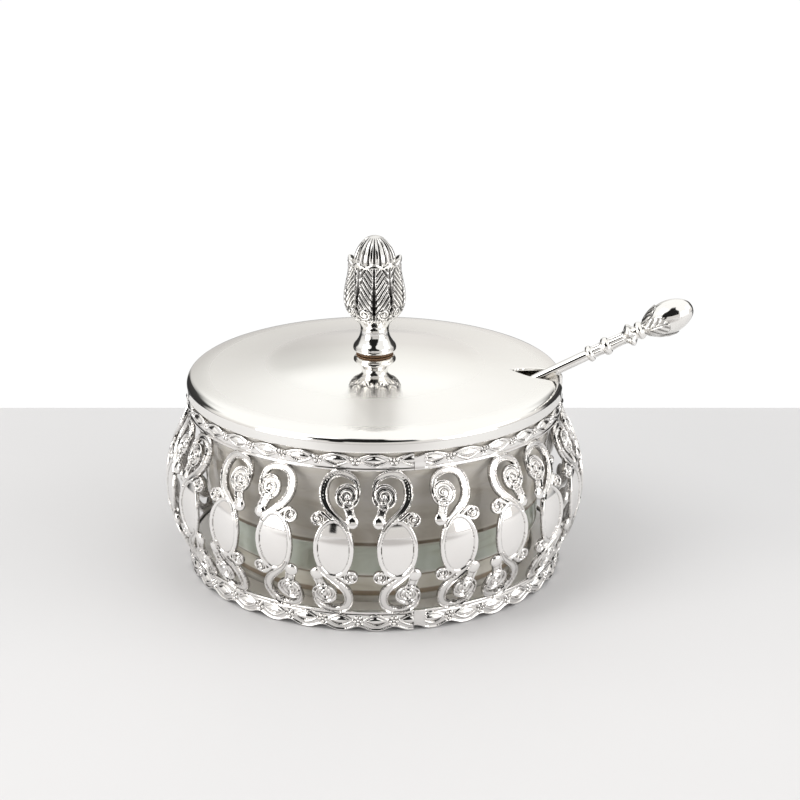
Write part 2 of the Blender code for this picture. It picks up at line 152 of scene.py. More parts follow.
def sheet_mesh(name, A, P, F, outer, inner, periodic=False, sharp_deg=50.0, painted_shade=None):
    """A closed sheet of metal cut to the region F > 0 of the grid A x P. outer and inner place its
    two faces. The cut follows F's zero line, and plain walls join the faces along it."""
    nA, nP = F.shape
    ins = F > 0
    nE = nA if periodic else nA - 1
    nxt = (np.arange(nE) + 1) % nA
    a_next = np.where(np.arange(nE) + 1 < nA, A[nxt], A[0] + 2 * math.pi) if periodic else A[1:]
    ids = np.full((nA, nP), -1, np.int64)
    ids[ins] = np.arange(ins.sum())
    va = [np.broadcast_to(A[:, None], F.shape)[ins]]
    vp = [np.broadcast_to(P[None, :], F.shape)[ins]]
    count = int(ins.sum())

    h0, h1 = F[:nE], F[nxt]
    cross = ins[:nE] != ins[nxt]
    t = np.clip(np.where(cross, h0 / np.where(cross, h0 - h1, 1), 0.5), 0.12, 0.88)
    HE = np.full(cross.shape, -1, np.int64)
    HE[cross] = count + np.arange(cross.sum())
    count += int(cross.sum())
    va.append((A[:nE, None] + t * (a_next - A[:nE])[:, None])[cross])
    vp.append(np.broadcast_to(P[None, :], cross.shape)[cross])

    v0, v1 = F[:, :-1], F[:, 1:]
    cross = ins[:, :-1] != ins[:, 1:]
    t = np.clip(np.where(cross, v0 / np.where(cross, v0 - v1, 1), 0.5), 0.12, 0.88)
    VE = np.full(cross.shape, -1, np.int64)
    VE[cross] = count + np.arange(cross.sum())
    count += int(cross.sum())
    va.append(np.broadcast_to(A[:, None], cross.shape)[cross])
    vp.append((P[None, :-1] + t * np.diff(P)[None, :])[cross])
    va, vp = np.concatenate(va), np.concatenate(vp)

    corner = [ids[:nE, :-1], ids[nxt][:, :-1], ids[nxt][:, 1:], ids[:nE, 1:]]
    edge = [HE[:, :-1], VE[nxt], HE[:, 1:], VE[:nE]]
    items = [x.ravel() for x in corner + edge]
    case = sum((ins_part.astype(np.int64) << k) for k, ins_part in enumerate(
        [ins[:nE, :-1], ins[nxt][:, :-1], ins[nxt][:, 1:], ins[:nE, 1:]])).ravel()
    polys = []
    for c in range(1, 16):
        where = np.nonzero(case == c)[0]
        if len(where):
            polys.append(np.stack([items[k][where] for k in WALK[c]], 1))

    ends = np.concatenate([np.stack([p, np.roll(p, -1, 1)], 2).reshape(-1, 2) for p in polys])
    key = ends.min(1) * count + ends.max(1)
    _, first, seen = np.unique(key, return_index=True, return_counts=True)
    rim = ends[first[seen == 1]]
    a, b = rim[:, 0], rim[:, 1]
    walls = np.stack([b, a, a + count, b + count], 1)
    co = np.vstack([outer(va, vp), inner(va, vp)])
    attributes = None
    # painted shade: the given function darkens the outer face by its relief, and the whole inner face gets a fixed 0.6
    if painted_shade is not None:
        attributes = {"painted_shade": np.concatenate([painted_shade(va, vp), np.full(count, 0.6)])}
    return mesh_of(name, co, polys + [p[:, ::-1] + count for p in polys] + [walls], sharp_deg, attributes)


def lathe_mesh(name, profile, n, shape=None, sharp_deg=38.0, closed=False, painted_shade=None):
    """A solid turned about Z. profile is (radius, height), outside surface running upwards.
    Points on the axis become poles. shape(angle, index array, r, z) may return new (r, z) and a third array, painted
    shade kept as a mesh attribute."""
    prof = np.array(profile, float)
    lo_pole, hi_pole = prof[0, 0] < 1e-6, prof[-1, 0] < 1e-6
    body = prof[1 if lo_pole else 0:len(prof) - (1 if hi_pole else 0)]
    m = len(body)
    ang = np.arange(n) * 2 * math.pi / n
    G, I = np.meshgrid(ang, np.arange(m), indexing="ij")
    R, Z = body[I, 0], body[I, 1]
    dark = np.zeros_like(R)
    if shape:
        made = shape(G, I, R, Z)
        R, Z = made[0], made[1]
        if len(made) > 2:
            dark = made[2]
    co = np.stack([R * np.sin(G), -R * np.cos(G), Z], 2).reshape(-1, 3)
    ids = np.arange(n * m).reshape(n, m)
    right = np.roll(ids, -1, 0)
    polys = [np.stack([ids[:, :-1], right[:, :-1], right[:, 1:], ids[:, 1:]], 2).reshape(-1, 4)]
    extra = []
    if closed:
        polys.append(np.stack([ids[:, -1], right[:, -1], right[:, 0], ids[:, 0]], 1))
    if lo_pole:
        k = n * m + len(extra)
        extra.append([0, 0, prof[0, 1]])
        polys.append(np.stack([np.full(n, k), right[:, 0], ids[:, 0]], 1))
    if hi_pole:
        k = n * m + len(extra)
        extra.append([0, 0, prof[-1, 1]])
        polys.append(np.stack([ids[:, -1], right[:, -1], np.full(n, k)], 1))
    if extra:
        co = np.vstack([co, extra])
    # painted shade from shape(), one value a vertex; only the silver materials with darkening read it
    attributes = {"painted_shade": np.concatenate([dark.ravel(), np.zeros(len(extra))])}
    return mesh_of(name, co, polys, sharp_deg, attributes)


def fillet(points, radius=0.35, n=5):
    """The (r, z) outline with each inner corner rounded. radius may be a list, one per point."""
    out = []
    pts = [np.array(p, float) for p in points]
    for i, p in enumerate(pts):
        rad = radius[i] if isinstance(radius, (list, tuple)) else radius
        if i in (0, len(pts) - 1) or rad <= 0:
            out.append(p)
            continue
        d0, d1 = pts[i - 1] - p, pts[i + 1] - p
        l0, l1 = np.linalg.norm(d0), np.linalg.norm(d1)
        e0, e1 = d0 / l0, d1 / l1
        half = math.acos(max(-1, min(1, float(e0 @ e1)))) / 2
        if half > math.radians(86):
            out.append(p)
            continue
        cut = min(rad / math.tan(half), 0.45 * l0, 0.45 * l1)
        a, b = p + e0 * cut, p + e1 * cut
        for k in range(n + 1):
            t = k / n
            out.append((1 - t) ** 2 * a + 2 * t * (1 - t) * p + t * t * b)
    return [tuple(q) for q in out]


def dense(points, step):
    """Adds points along straight runs so that none is longer than step."""
    out = [points[0]]
    for a, b in zip(points, points[1:]):
        n = max(1, math.ceil(math.hypot(b[0] - a[0], b[1] - a[1]) / step))
        out += [(a[0] + (b[0] - a[0]) * k / n, a[1] + (b[1] - a[1]) * k / n) for k in range(1, n + 1)]
    return out


# ---------------------------------------------------------------------------------------------
# Materials
# ---------------------------------------------------------------------------------------------
def new_material(name):
    mat = bpy.data.materials.new(name)
    mat.use_nodes = True
    return mat, mat.node_tree.nodes, mat.node_tree.links, mat.node_tree.nodes["Principled BSDF"]


def noise(nodes, links, scale, detail=3.0, rough=0.5, vector=None, distortion=0.0):
    n = nodes.new("ShaderNodeTexNoise")
    n.inputs["Scale"].default_value = scale
    n.inputs["Detail"].default_value = detail
    n.inputs["Roughness"].default_value = rough
    n.inputs["Distortion"].default_value = distortion
    if vector is not None:
        links.new(vector, n.inputs["Vector"])
    return n


def ramp(nodes, links, source, stops):
    r = nodes.new("ShaderNodeValToRGB")
    while len(r.color_ramp.elements) < len(stops):
        r.color_ramp.elements.new(0.5)
    for e, (at, rgb) in zip(r.color_ramp.elements, stops):
        e.position = at
        e.color = (*rgb, 1.0) if len(rgb) == 3 else rgb
    links.new(source, r.inputs["Fac"])
    return r


def object_coords(nodes):
    return nodes.new("ShaderNodeTexCoord").outputs["Object"]


def silver(name, rough=(0.06, 0.13), bright=(0.955, 0.945, 0.925), dull=(0.90, 0.885, 0.855),
           painted_shade=True, dark=(0.20, 0.185, 0.165), ripple=0.0, satin=0.0):
    """Silver plate: warm white metal, cloudy polish, and painted shade: darker where the mesh's shade attribute says.
    """
    mat, nodes, links, shader = new_material(name)
    where = object_coords(nodes)
    cloud = noise(nodes, links, 60.0, 4.0, 0.6, where)
    tone = ramp(nodes, links, cloud.outputs["Fac"], [(0.35, dull), (0.65, bright)])
    colour = tone.outputs["Color"]
    fine = noise(nodes, links, 900.0, 3.0, 0.6, where)
    polish = nodes.new("ShaderNodeMapRange")
    polish.inputs["To Min"].default_value = rough[0]
    polish.inputs["To Max"].default_value = rough[1]
    links.new(fine.outputs["Fac"], polish.inputs["Value"])
    rough_out = polish.outputs["Result"]
    if satin:  # rubbed dull in a broad ring between the finial and the shoulder
        flat = nodes.new("ShaderNodeVectorMath")
        flat.operation = "MULTIPLY"
        flat.inputs[1].default_value = (1.0, 1.0, 0.0)
        links.new(where, flat.inputs[0])
        away = nodes.new("ShaderNodeVectorMath")
        away.operation = "LENGTH"
        links.new(flat.outputs[0], away.inputs[0])
        ring = ramp(nodes, links, away.outputs["Value"], [
            (0.0, (0, 0, 0)), (0.0245, (0, 0, 0)), (0.0320, (1, 1, 1)), (0.0480, (1, 1, 1)), (0.0518, (0, 0, 0))])
        ring.color_ramp.interpolation = "EASE"
        more = nodes.new("ShaderNodeMath")
        more.operation = "MULTIPLY_ADD"
        more.inputs[1].default_value = satin
        links.new(ring.outputs["Color"], more.inputs[0])
        links.new(rough_out, more.inputs[2])
        rough_out = more.outputs[0]
    # painted shade: the colour goes towards dark, and the polish dulls slightly, where the mesh's shade attribute is
    # high
    if painted_shade:
        mask = nodes.new("ShaderNodeAttribute")
        mask.attribute_name = "painted_shade"
        mix = nodes.new("ShaderNodeMix")
        mix.data_type = "RGBA"
        mix.inputs["B"].default_value = (*dark, 1)
        links.new(mask.outputs["Fac"], mix.inputs["Factor"])
        links.new(colour, mix.inputs["A"])
        colour = mix.outputs["Result"]
        add = nodes.new("ShaderNodeMath")
        add.operation = "MULTIPLY_ADD"
        add.inputs[1].default_value = 0.05
        links.new(mask.outputs["Fac"], add.inputs[0])
        links.new(rough_out, add.inputs[2])
        rough_out = add.outputs[0]
    links.new(colour, shader.inputs["Base Color"])
    links.new(rough_out, shader.inputs["Roughness"])
    shader.inputs["Metallic"].default_value = 1.0
    if ripple:
        wave = noise(nodes, links, 45.0, 2.0, 0.5, where)
        bump = nodes.new("ShaderNodeBump")
        bump.inputs["Strength"].default_value = ripple
        bump.inputs["Distance"].default_value = 0.0004
        links.new(wave.outputs["Fac"], bump.inputs["Height"])
        links.new(bump.outputs["Normal"], shader.inputs["Normal"])
    return mat


def glass(name):
    """Pressed glass, grey with brown and green casts and faint pearly streaks round the wall, with painted highlight
    and shade lines at the wall's steps and a painted pale foot.
    """
    mat, nodes, links, shader = new_material(name)
    where = object_coords(nodes)
    scale = nodes.new("ShaderNodeMapping")
    scale.inputs["Scale"].default_value = (1.0, 1.0, 3.0)
    links.new(where, scale.inputs["Vector"])
    streak = noise(nodes, links, 38.0, 4.0, 0.55, scale.outputs["Vector"], 1.2)
    split = nodes.new("ShaderNodeSeparateXYZ")
    links.new(where, split.inputs["Vector"])
    height = nodes.new("ShaderNodeMapRange")
    height.inputs["From Min"].default_value = 0.0
    height.inputs["From Max"].default_value = 0.055
    links.new(split.outputs["Z"], height.inputs["Value"])
    # height bands: brown and green casts; the narrow pale and dark bands next to the wall's steps are painted
    # highlight and shade, and the pale foot below 6.3 mm is painted light for the base's ledge to reflect
    casts_and_painted_light = ramp(nodes, links, height.outputs["Result"], [
        (0.00, (0.90, 0.88, 0.83)), (0.115, (0.95, 0.92, 0.86)), (0.125, (0.36, 0.28, 0.20)), (0.145, (0.45, 0.36, 0.27)),
        (0.152, (0.99, 0.95, 0.85)), (0.222, (0.99, 0.95, 0.85)), (0.228, (0.34, 0.28, 0.21)), (0.240, (0.42, 0.36, 0.28)),
        (0.246, (0.99, 0.99, 0.94)), (0.262, (0.77, 0.825, 0.74)), (0.395, (0.79, 0.85, 0.77)), (0.402, (0.99, 0.97, 0.90)),
        (0.411, (0.99, 0.97, 0.90)), (0.416, (0.28, 0.22, 0.17)), (0.430, (0.34, 0.29, 0.23)), (0.436, (0.95, 0.91, 0.83)),
        (0.448, (0.82, 0.775, 0.715)), (1.0, (0.98, 0.945, 0.90)),
    ])
    veil = ramp(nodes, links, streak.outputs["Fac"], [
        (0.30, (0.70, 0.66, 0.60)), (0.46, (0.93, 0.92, 0.88)), (0.60, (1.0, 1.0, 1.0)), (0.75, (0.88, 0.88, 0.85)),
    ])
    mix = nodes.new("ShaderNodeMix")
    mix.data_type = "RGBA"
    mix.blend_type = "MULTIPLY"
    mix.inputs["Factor"].default_value = 0.85
    links.new(casts_and_painted_light.outputs["Color"], mix.inputs["A"])
    links.new(veil.outputs["Color"], mix.inputs["B"])
    links.new(mix.outputs["Result"], shader.inputs["Base Color"])
    shader.inputs["Roughness"].default_value = 0.06
    shader.inputs["IOR"].default_value = 1.5
    shader.inputs["Transmission Weight"].default_value = 0.22
    bump = nodes.new("ShaderNodeBump")
    bump.inputs["Strength"].default_value = 0.35
    bump.inputs["Distance"].default_value = 0.0006
    links.new(streak.outputs["Fac"], bump.inputs["Height"])
    links.new(bump.outputs["Normal"], shader.inputs["Normal"])
    return mat


def fibre(name):
    mat, nodes, links, shader = new_material(name)
    grain = noise(nodes, links, 2500.0, 4.0, 0.7, object_coords(nodes))
    tone = ramp(nodes, links, grain.outputs["Fac"], [(0.3, (0.10, 0.05, 0.025)), (0.7, (0.26, 0.15, 0.08))])
    links.new(tone.outputs["Color"], shader.inputs["Base Color"])
    shader.inputs["Roughness"].default_value = 0.75
    bump = nodes.new("ShaderNodeBump")
    bump.inputs["Strength"].default_value = 0.3
    bump.inputs["Distance"].default_value = 0.0001
    links.new(grain.outputs["Fac"], bump.inputs["Height"])
    links.new(bump.outputs["Normal"], shader.inputs["Normal"])
    return mat


def steel(name):
    mat, nodes, links, shader = new_material(name)
    turn = noise(nodes, links, 1200.0, 3.0, 0.6, object_coords(nodes))
    tone = ramp(nodes, links, turn.outputs["Fac"], [(0.3, (0.45, 0.44, 0.43)), (0.7, (0.66, 0.65, 0.64))])
    polish = nodes.new("ShaderNodeMapRange")
    polish.inputs["To Min"].default_value = 0.25
    polish.inputs["To Max"].default_value = 0.42
    links.new(turn.outputs["Fac"], polish.inputs["Value"])
    links.new(tone.outputs["Color"], shader.inputs["Base Color"])
    links.new(polish.outputs["Result"], shader.inputs["Roughness"])
    shader.inputs["Metallic"].default_value = 1.0
    return mat


# the dark colours are the painted shade laid into the hollows of the gallery, the finial and the spoon's stem
MAT_GALLERY = silver("stamped_silver", rough=(0.06, 0.11), bright=(0.935, 0.920, 0.905), dull=(0.905, 0.887, 0.868),
                     dark=(0.16, 0.148, 0.135))
MAT_LID = silver("spun_silver", rough=(0.035, 0.06), bright=(0.965, 0.955, 0.93), dull=(0.95, 0.938, 0.91), painted_shade=False,
                 satin=0.24)
MAT_CAST = silver("cast_silver", rough=(0.05, 0.10), bright=(0.87, 0.86, 0.845), dull=(0.78, 0.765, 0.745),
                  dark=(0.012, 0.011, 0.010))
MAT_BASE = silver("pressed_silver", rough=(0.55, 0.68), bright=(0.97, 0.965, 0.955), dull=(0.94, 0.93, 0.915), painted_shade=False)
MAT_SPOON = silver("spoon_silver", rough=(0.05, 0.10), dark=(0.03, 0.028, 0.025))
MAT_GLASS = glass("pressed_glass_streaked")
MAT_FIBRE = fibre("brown_fibre_board")
MAT_STEEL = steel("machined_steel")


# ---------------------------------------------------------------------------------------------
# Holder: the stamped strips
# ---------------------------------------------------------------------------------------------
_wall = catmull(WALL_PROFILE, 24)
W_Z, W_R = _wall[:, 0], _wall[:, 1]
W_S = np.concatenate([[0], np.cumsum(np.hypot(np.diff(W_Z), np.diff(W_R)))])
S_OVAL = float(np.interp(OVAL_Z, W_Z, W_S))
W_S = W_S - S_OVAL
_tz, _tr = np.gradient(W_Z, W_S), np.gradient(W_R, W_S)
_n = np.hypot(_tz, _tr)
W_NR, W_NZ = _tz / _n, -_tr / _n
S_BOTTOM, S_TOP = float(W_S[0]), float(W_S[-1])
S_LOW = float(np.interp(BOTTOM_RAIL_Z, W_Z, W_S))
S_HIGH = float(np.interp(TOP_RAIL_Z, W_Z, W_S))


def wall_point(a, s, lift):
    r = np.interp(s, W_S, W_R) + lift * np.interp(s, W_S, W_NR)
    z = np.interp(s, W_S, W_Z) + lift * np.interp(s, W_S, W_NZ)
    return np.stack([r * np.sin(a), -r * np.cos(a), z], 1)


EDGE = -0.28  # how far the surface rolls down at a cut edge


def along(U, S, path, per=8):
    """Distance to a smooth path of (u, s, half width): inside depth, signed offset, half width
    and length along the path, of the nearest stretch."""
    p = catmull(path, per)
    best = np.full(U.shape, -1e9)
    off, wid, arc = (np.zeros(U.shape) for _ in range(3))
    run = 0.0
    for (x0, y0, w0), (x1, y1, w1) in zip(p, p[1:]):
        dx, dy = x1 - x0, y1 - y0
        ln = math.hypot(dx, dy)
        if ln < 1e-9:
            continue
        t = np.clip(((U - x0) * dx + (S - y0) * dy) / ln ** 2, 0, 1)
        ex, ey = U - x0 - t * dx, S - y0 - t * dy
        d = np.hypot(ex, ey)
        w = w0 + t * (w1 - w0)
        inside = w - d
        new = inside > best
        best = np.where(new, inside, best)
        side = np.sign(dx * ey - dy * ex)
        off = np.where(new, side * d, off)
        wid = np.where(new, w, wid)
        arc = np.where(new, run + t * ln, arc)
        run += ln
    return best, off, wid, arc


HOOK_W = 1.07
HOOK = [  # from beside the scroll, over the top, down the right and across to the oval's left frame
    (-6.15, 14.0, 0.45), (-6.2, 16.0, 0.62), (-5.5, 18.3, 0.85), (-3.9, 19.7, 0.95), (-1.5, 20.35, 1.0),
    (1.1, 20.0, 1.1), (2.9, 18.4, 1.2), (3.55, 15.9, 1.25), (3.15, 13.2, 1.2), (1.75, 10.9, 1.1),
    (-0.4, 9.0, 0.92), (-2.55, 7.0, 0.76), (-4.05, 4.3, 0.66), (-4.7, 1.5, 0.62), (-4.78, -0.5, 0.62),
]
CURL_TAIL = [(4.9, 9.0, 0.45), (4.1, 9.75, 0.55), (3.1, 9.6, 0.55), (2.1, 8.8, 0.55), (0.9, 7.9, 0.5)]
NECK = [(-3.6, 11.7, 1.55), (-3.95, 10.4, 1.32), (-4.3, 9.2, 1.35), (-4.6, 8.0, 1.5)]
SCROLL, SCROLL_R = (-3.2, 14.45), 3.55
CURL, CURL_R = (4.45, 8.0), 1.9
DROP, DROP_R = (-4.7, 7.6), 1.85


def plateau(x, shoulder=0.4):
    """1 over the middle, 0 at |x| = 1, with a rounded shoulder between."""
    t = np.clip((1 - np.abs(x)) / shoulder, 0, 1)
    return np.sqrt(1 - (1 - t) ** 2)


def rope(best, off, wid, arc, bead_to):
    """A band with a broad raised rim along each side and a channel between, beaded where wide."""
    rim = np.clip(wid - 0.22, 0.2, 0.42)
    ridge = 0.52 * plateau((np.abs(off) - (wid - rim / 2)) / (rim / 2), 0.6)
    beads = 0.26 * np.exp(-(((arc % 0.85) - 0.42) / 0.20) ** 2) * np.exp(-(off / 0.20) ** 2)
    beads = beads * smooth(wid, 0.95, 1.10) * smooth(arc, 3.0, 4.0) * (1 - smooth(arc, bead_to, bead_to + 1.5))
    h = np.maximum(-0.16 + beads, ridge)
    return np.where(best > 0, np.maximum(h, EDGE), EDGE)


def swirl(U, S, centre, radius, pitch, knob, hand=1.0):
    """A disc with a spiral ridge wound into it, inside a raised rim."""
    du, ds = U - centre[0], S - centre[1]
    r = np.hypot(du, ds)
    th = np.arctan2(ds, du)
    phase = ((radius - r) / pitch - hand * th / (2 * math.pi)) % 1.0
    ridge = plateau((phase - 0.30) / 0.19, 0.9)
    h = -0.20 + 0.62 * ridge
    rim = plateau((r - radius + 0.23) / 0.24, 0.7)
    h = np.maximum(h, -0.20 + 0.66 * rim)
    h = np.where(r < knob * 1.6, np.maximum(h, 0.50 * round_top(r / (knob * 1.6))), h)
    return radius - r, np.where(r < radius, h, EDGE)


def oval_ring(U, S):
    mid = np.hypot(U / 4.78, S / 7.9)
    d = (mid - 1) / np.maximum(np.hypot(U / 4.78 ** 2, S / 7.9 ** 2), 1e-6) * mid
    q = np.hypot(U / 4.15, S / 7.3)
    dome = 0.02 + 0.22 * np.clip(1 - q * q, 0, 1)
    frame_h = EDGE + (0.42 - EDGE) * plateau(d / 0.60, 0.55)
    h = np.where(q < 1, np.maximum(dome, -0.16), np.where(np.abs(d) < 0.60, np.maximum(frame_h, -0.12), EDGE))
    f = np.where(mid < 1, 5.0, 0.60 - d)
    return np.minimum(f, 5.0), h


def motif_fields():
    """Depth inside the outline and relief height of the upper half of one motif on a fine grid."""
    step = 0.08 if FINE else 0.16
    u = np.arange(-8.4, 8.4 + step, step)
    s = np.arange(-0.6, 23.4, step)
    U, S = np.meshgrid(u, s, indexing="ij")
    f_hook, off, wid, arc = along(U, S, [(a, b, c * HOOK_W) for a, b, c in HOOK])
    h_hook = rope(f_hook, off, wid, arc, 19.0)
    f_tail, off, wid, arc = along(U, S, CURL_TAIL)
    h_tail = np.where(f_tail > 0, EDGE + (0.5 - EDGE) * round_top(off / np.maximum(wid, 0.1)) - 0.2 * np.exp(-((off + 0.1) / 0.1) ** 2), EDGE)
    f_neck, off, wid, arc = along(U, S, NECK)
    h_neck = -0.10 + 0.50 * plateau((np.abs(off) - wid + 0.20) / 0.24, 0.7)
    h_neck = np.where(f_neck > 0, h_neck, EDGE)
    f_scroll, h_scroll = swirl(U, S, SCROLL, SCROLL_R, 1.38, 0.42)
    f_curl, h_curl = swirl(U, S, CURL, CURL_R, 1.05, 0.34, -1.0)
    r = np.hypot(U - DROP[0], S - DROP[1])
    f_drop = DROP_R - r
    h_drop = np.where(r < DROP_R, EDGE + (0.66 - EDGE) * round_top(r / DROP_R), EDGE)
    f_ring, h_ring = oval_ring(U, S)
    f = np.maximum.reduce([f_hook, f_tail, f_neck, f_scroll, f_curl, f_drop, f_ring])
    # the hook lies over the oval's frame, which lies over the tail and the drop
    under = np.maximum.reduce([h_tail, h_neck, h_scroll, h_curl, h_drop])
    under = np.where(f_drop > 0.1, np.maximum(h_drop, -9), under)
    h = np.maximum(under, h_ring)
    over = smooth(f_hook, -0.02, 0.14) * (S > 5.0)
    h = h * (1 - over) + np.maximum(h_hook, np.where(f_hook > 0.3, h_hook, h)) * over
    h = np.where(S > 5.0, np.where(f_hook > 0, h, np.maximum(under, h_ring)), np.maximum(h_ring, under))
    return u, s, f, h


def sample(u, s, field, x, y):
    i = np.clip((x - u[0]) / (u[1] - u[0]), 0, len(u) - 1.001)
    j = np.clip((y - s[0]) / (s[1] - s[0]), 0, len(s) - 1.001)
    i0, j0 = i.astype(int), j.astype(int)
    a, b = i - i0, j - j0
    return ((field[i0, j0] * (1 - a) + field[i0 + 1, j0] * a) * (1 - b)
            + (field[i0, j0 + 1] * (1 - a) + field[i0 + 1, j0 + 1] * a) * b)


M_U, M_S, M_F, M_H = motif_fields()


def border(x, v, outer, period, edge_in, rail_in):
    """Relief of one border. x is the distance to the nearest flower along the strip, v the height
    above the row's middle, towards the scalloped edge. outer, the distance from the middle to the
    scallops' peaks, is not used. edge_in and rail_in are the depths inside the two outlines."""
    loz = np.abs(period / 2 - np.abs(x))  # distance from the lozenge's middle
    length = period / 2 - 1.15
    shape = np.clip(1 - (loz / length) ** 1.5, 0, 1)
    h = 0.0 * v
    # outline of the lozenge, then a groove, then its pillow
    w_out = 1.72 * shape
    slope = np.sqrt(1 + (1.72 * 1.5 / length * np.clip(loz / length, 0, 1) ** 0.5) ** 2)
    inside_out = (w_out - np.abs(v)) / slope
    line = np.where(shape > 0.02, plateau((inside_out - 0.16) / 0.26, 0.8), 0)
    h = h + 0.34 * line
    w_in = np.maximum(1.18 * np.clip(1 - (loz / (length - 0.5)) ** 1.6, 0, 1), 1e-3)
    q = np.abs(v) / w_in
    h = np.where(inside_out > 0.42, -0.10, h)
    h = np.where((q < 1) & (w_in > 0.05), np.maximum(h, -0.10 + 0.80 * (1 - q ** 1.7) * np.clip(w_in / 1.18, 0, 1) ** 0.6), h)
    # scalloped rim
    h = np.maximum(h, 0.34 * plateau((edge_in - 0.30) / 0.30, 0.7) * (v > 0.4))
    # flower: five petals round a knob, on a sunk ground
    r = np.hypot(x, v)
    h = np.where(r < 1.42, -0.16, h)
    h = np.where(r < 0.40, np.maximum(h, 0.02 + 0.38 * round_top(r / 0.40)), h)
    for k in range(5):
        a = math.pi / 2 + 2 * math.pi * k / 5
        d = np.hypot(x - 0.94 * math.cos(a), v - 0.94 * math.sin(a))
        h = np.maximum(h, np.where(d < 0.48, -0.05 + 0.50 * round_top(d / 0.48), -9))
    # engraved line along the rail
    return h - 0.20 * np.exp(-((rail_in - 0.85) / 0.16) ** 2)


def strip(name, start, end, ovals, flower_b, flower_t, tab_from):
    pitch_cells = 96 if FINE else 40
    cell = MOTIF_PITCH / pitch_cells
    over_seam = math.radians(1.7)  # the last motif's scroll and curl lie past the border's end
    n = int(round((end + over_seam - start) / cell))
    A = np.linspace(start, end + over_seam, n + 1)
    m = int(round((S_TOP - S_BOTTOM) / (cell * FLAT_R)))
    P = np.linspace(S_BOTTOM, S_TOP, m + 1)
    AA, PP = np.meshgrid(A, P, indexing="ij")
    ovals = np.array(ovals)

    def fields(a, p):
        k = np.clip(np.round((a - ovals[0]) / (ovals[1] - ovals[0])).astype(int), 0, len(ovals) - 1)
        side = np.where(k % 2 == 0, 1.0, -1.0)
        u = (a - ovals[k]) * FLAT_R * side
        low = p < 0
        uu, ss = np.where(low, -u, u), np.where(low, -p / LOWER_STRETCH, p)
        f = sample(M_U, M_S, M_F, uu, ss)
        h = sample(M_U, M_S, M_H, uu, ss)
        past = (a - end) * FLAT_R
        clear = np.minimum(S_HIGH - p, p - S_LOW) - 0.15
        f = np.where(past > -0.3, np.minimum(f, np.maximum(clear, -past)), f)
        usable = math.pi - TAB
        tab = smooth(np.abs(a - tab_from), TAB - 0.012, TAB) if tab_from is not None else 1.0
        lift = 0.0 if tab_from is None else 0.20 * (1 - smooth(np.abs(a - tab_from), TAB - 0.004, TAB + 0.002))
        for base, inner, outer, first, count, peak in (
            (S_TOP, 3.05, 1.9, flower_t, 16, 1.0), (S_BOTTOM, 2.65, 2.55, flower_b, 17, 1.2),
        ):
            sign = 1.0 if base > 0 else -1.0
            period = usable / count * FLAT_R * 0.925
            x = ((a - first) * FLAT_R * 0.925 + period / 2) % period - period / 2
            edge = base - sign * peak * (0.5 + 0.5 * np.cos(2 * math.pi * x / period)) ** 1.4
            edge_in = (edge - p) * sign
            rail = S_HIGH if sign > 0 else S_LOW
            rail_in = (p - rail) * sign
            fb = np.minimum(np.minimum(edge_in, rail_in), -past)
            middle = rail + sign * inner
            v = (p - middle) * sign
            hb = border(x, v, outer, period, edge_in, rail_in)
            hb = hb * tab + lift
            roll = np.clip(edge_in / 0.28, 0, 1)
            hb = hb - 0.3 * (1 - np.sqrt(1 - (1 - roll) ** 2))
            inside = fb > 0
            roll_in = np.clip(rail_in / 0.25, 0, 1)
            hb2 = hb - 0.3 * (1 - np.sqrt(1 - (1 - roll_in) ** 2))
            # the rail keeps its rolled edge except where a scroll runs into it
            join = smooth(f, -0.1, 0.35)
            hb2 = hb2 * (1 - join) + hb * join
            h = np.where(inside, np.where(rail_in < 1.2, np.maximum(hb2, np.where(f > 0, h, -9)), hb2), h)
            f = np.maximum(f, fb)
        return f, h

    F, H = fields(AA, PP)
    F = np.where(np.abs(F) < 1e-4, 1e-4, F)
    # painted shade: darker the further the surface lies below its surroundings
    soft = H.copy()
    k = 2 if FINE else 1
    for axis in (0, 1):
        acc = np.zeros_like(soft)
        for d in range(-k, k + 1):
            acc += np.roll(soft, d, axis)
        soft = acc / (2 * k + 1)
    dark = np.clip((soft - H) / 0.26, 0, 1) ** 1.3

    def place(a, p):
        _, h = fields(a, p)
        return wall_point(a, p, h - 0.25)

    def back(a, p):
        return wall_point(a, p, np.full_like(a, -WALL_T))

    def painted_shade(a, p):
        i = np.clip((a - A[0]) / (A[1] - A[0]), 0, n - 0.001)
        j = np.clip((p - P[0]) / (P[1] - P[0]), 0, m - 0.001)
        i0, j0 = i.astype(int), j.astype(int)
        x, y = i - i0, j - j0
        return ((dark[i0, j0] * (1 - x) + dark[i0 + 1, j0] * x) * (1 - y)
                + (dark[i0, j0 + 1] * (1 - x) + dark[i0 + 1, j0 + 1] * x) * y)

    mesh = sheet_mesh(name, A, P, F, place, back, sharp_deg=62.0, painted_shade=painted_shade)
    return piece(name, mesh, MAT_GALLERY, "holder", [name.replace("stamped_", "")])


gap = 0.06 / FLAT_R
strip("stamped_gallery_strip_a", SEAM - math.pi + gap, SEAM - gap,
      [FIRST_OVAL - i * MOTIF_PITCH for i in range(MOTIFS)],
      math.radians(5.57), math.radians(5.53), SEAM - math.pi)
strip("stamped_gallery_strip_b", SEAM + gap, SEAM + math.pi - gap,
      [FIRST_OVAL + (i + 1) * MOTIF_PITCH for i in range(MOTIFS)],
      math.radians(22.2), math.radians(22.2), SEAM)

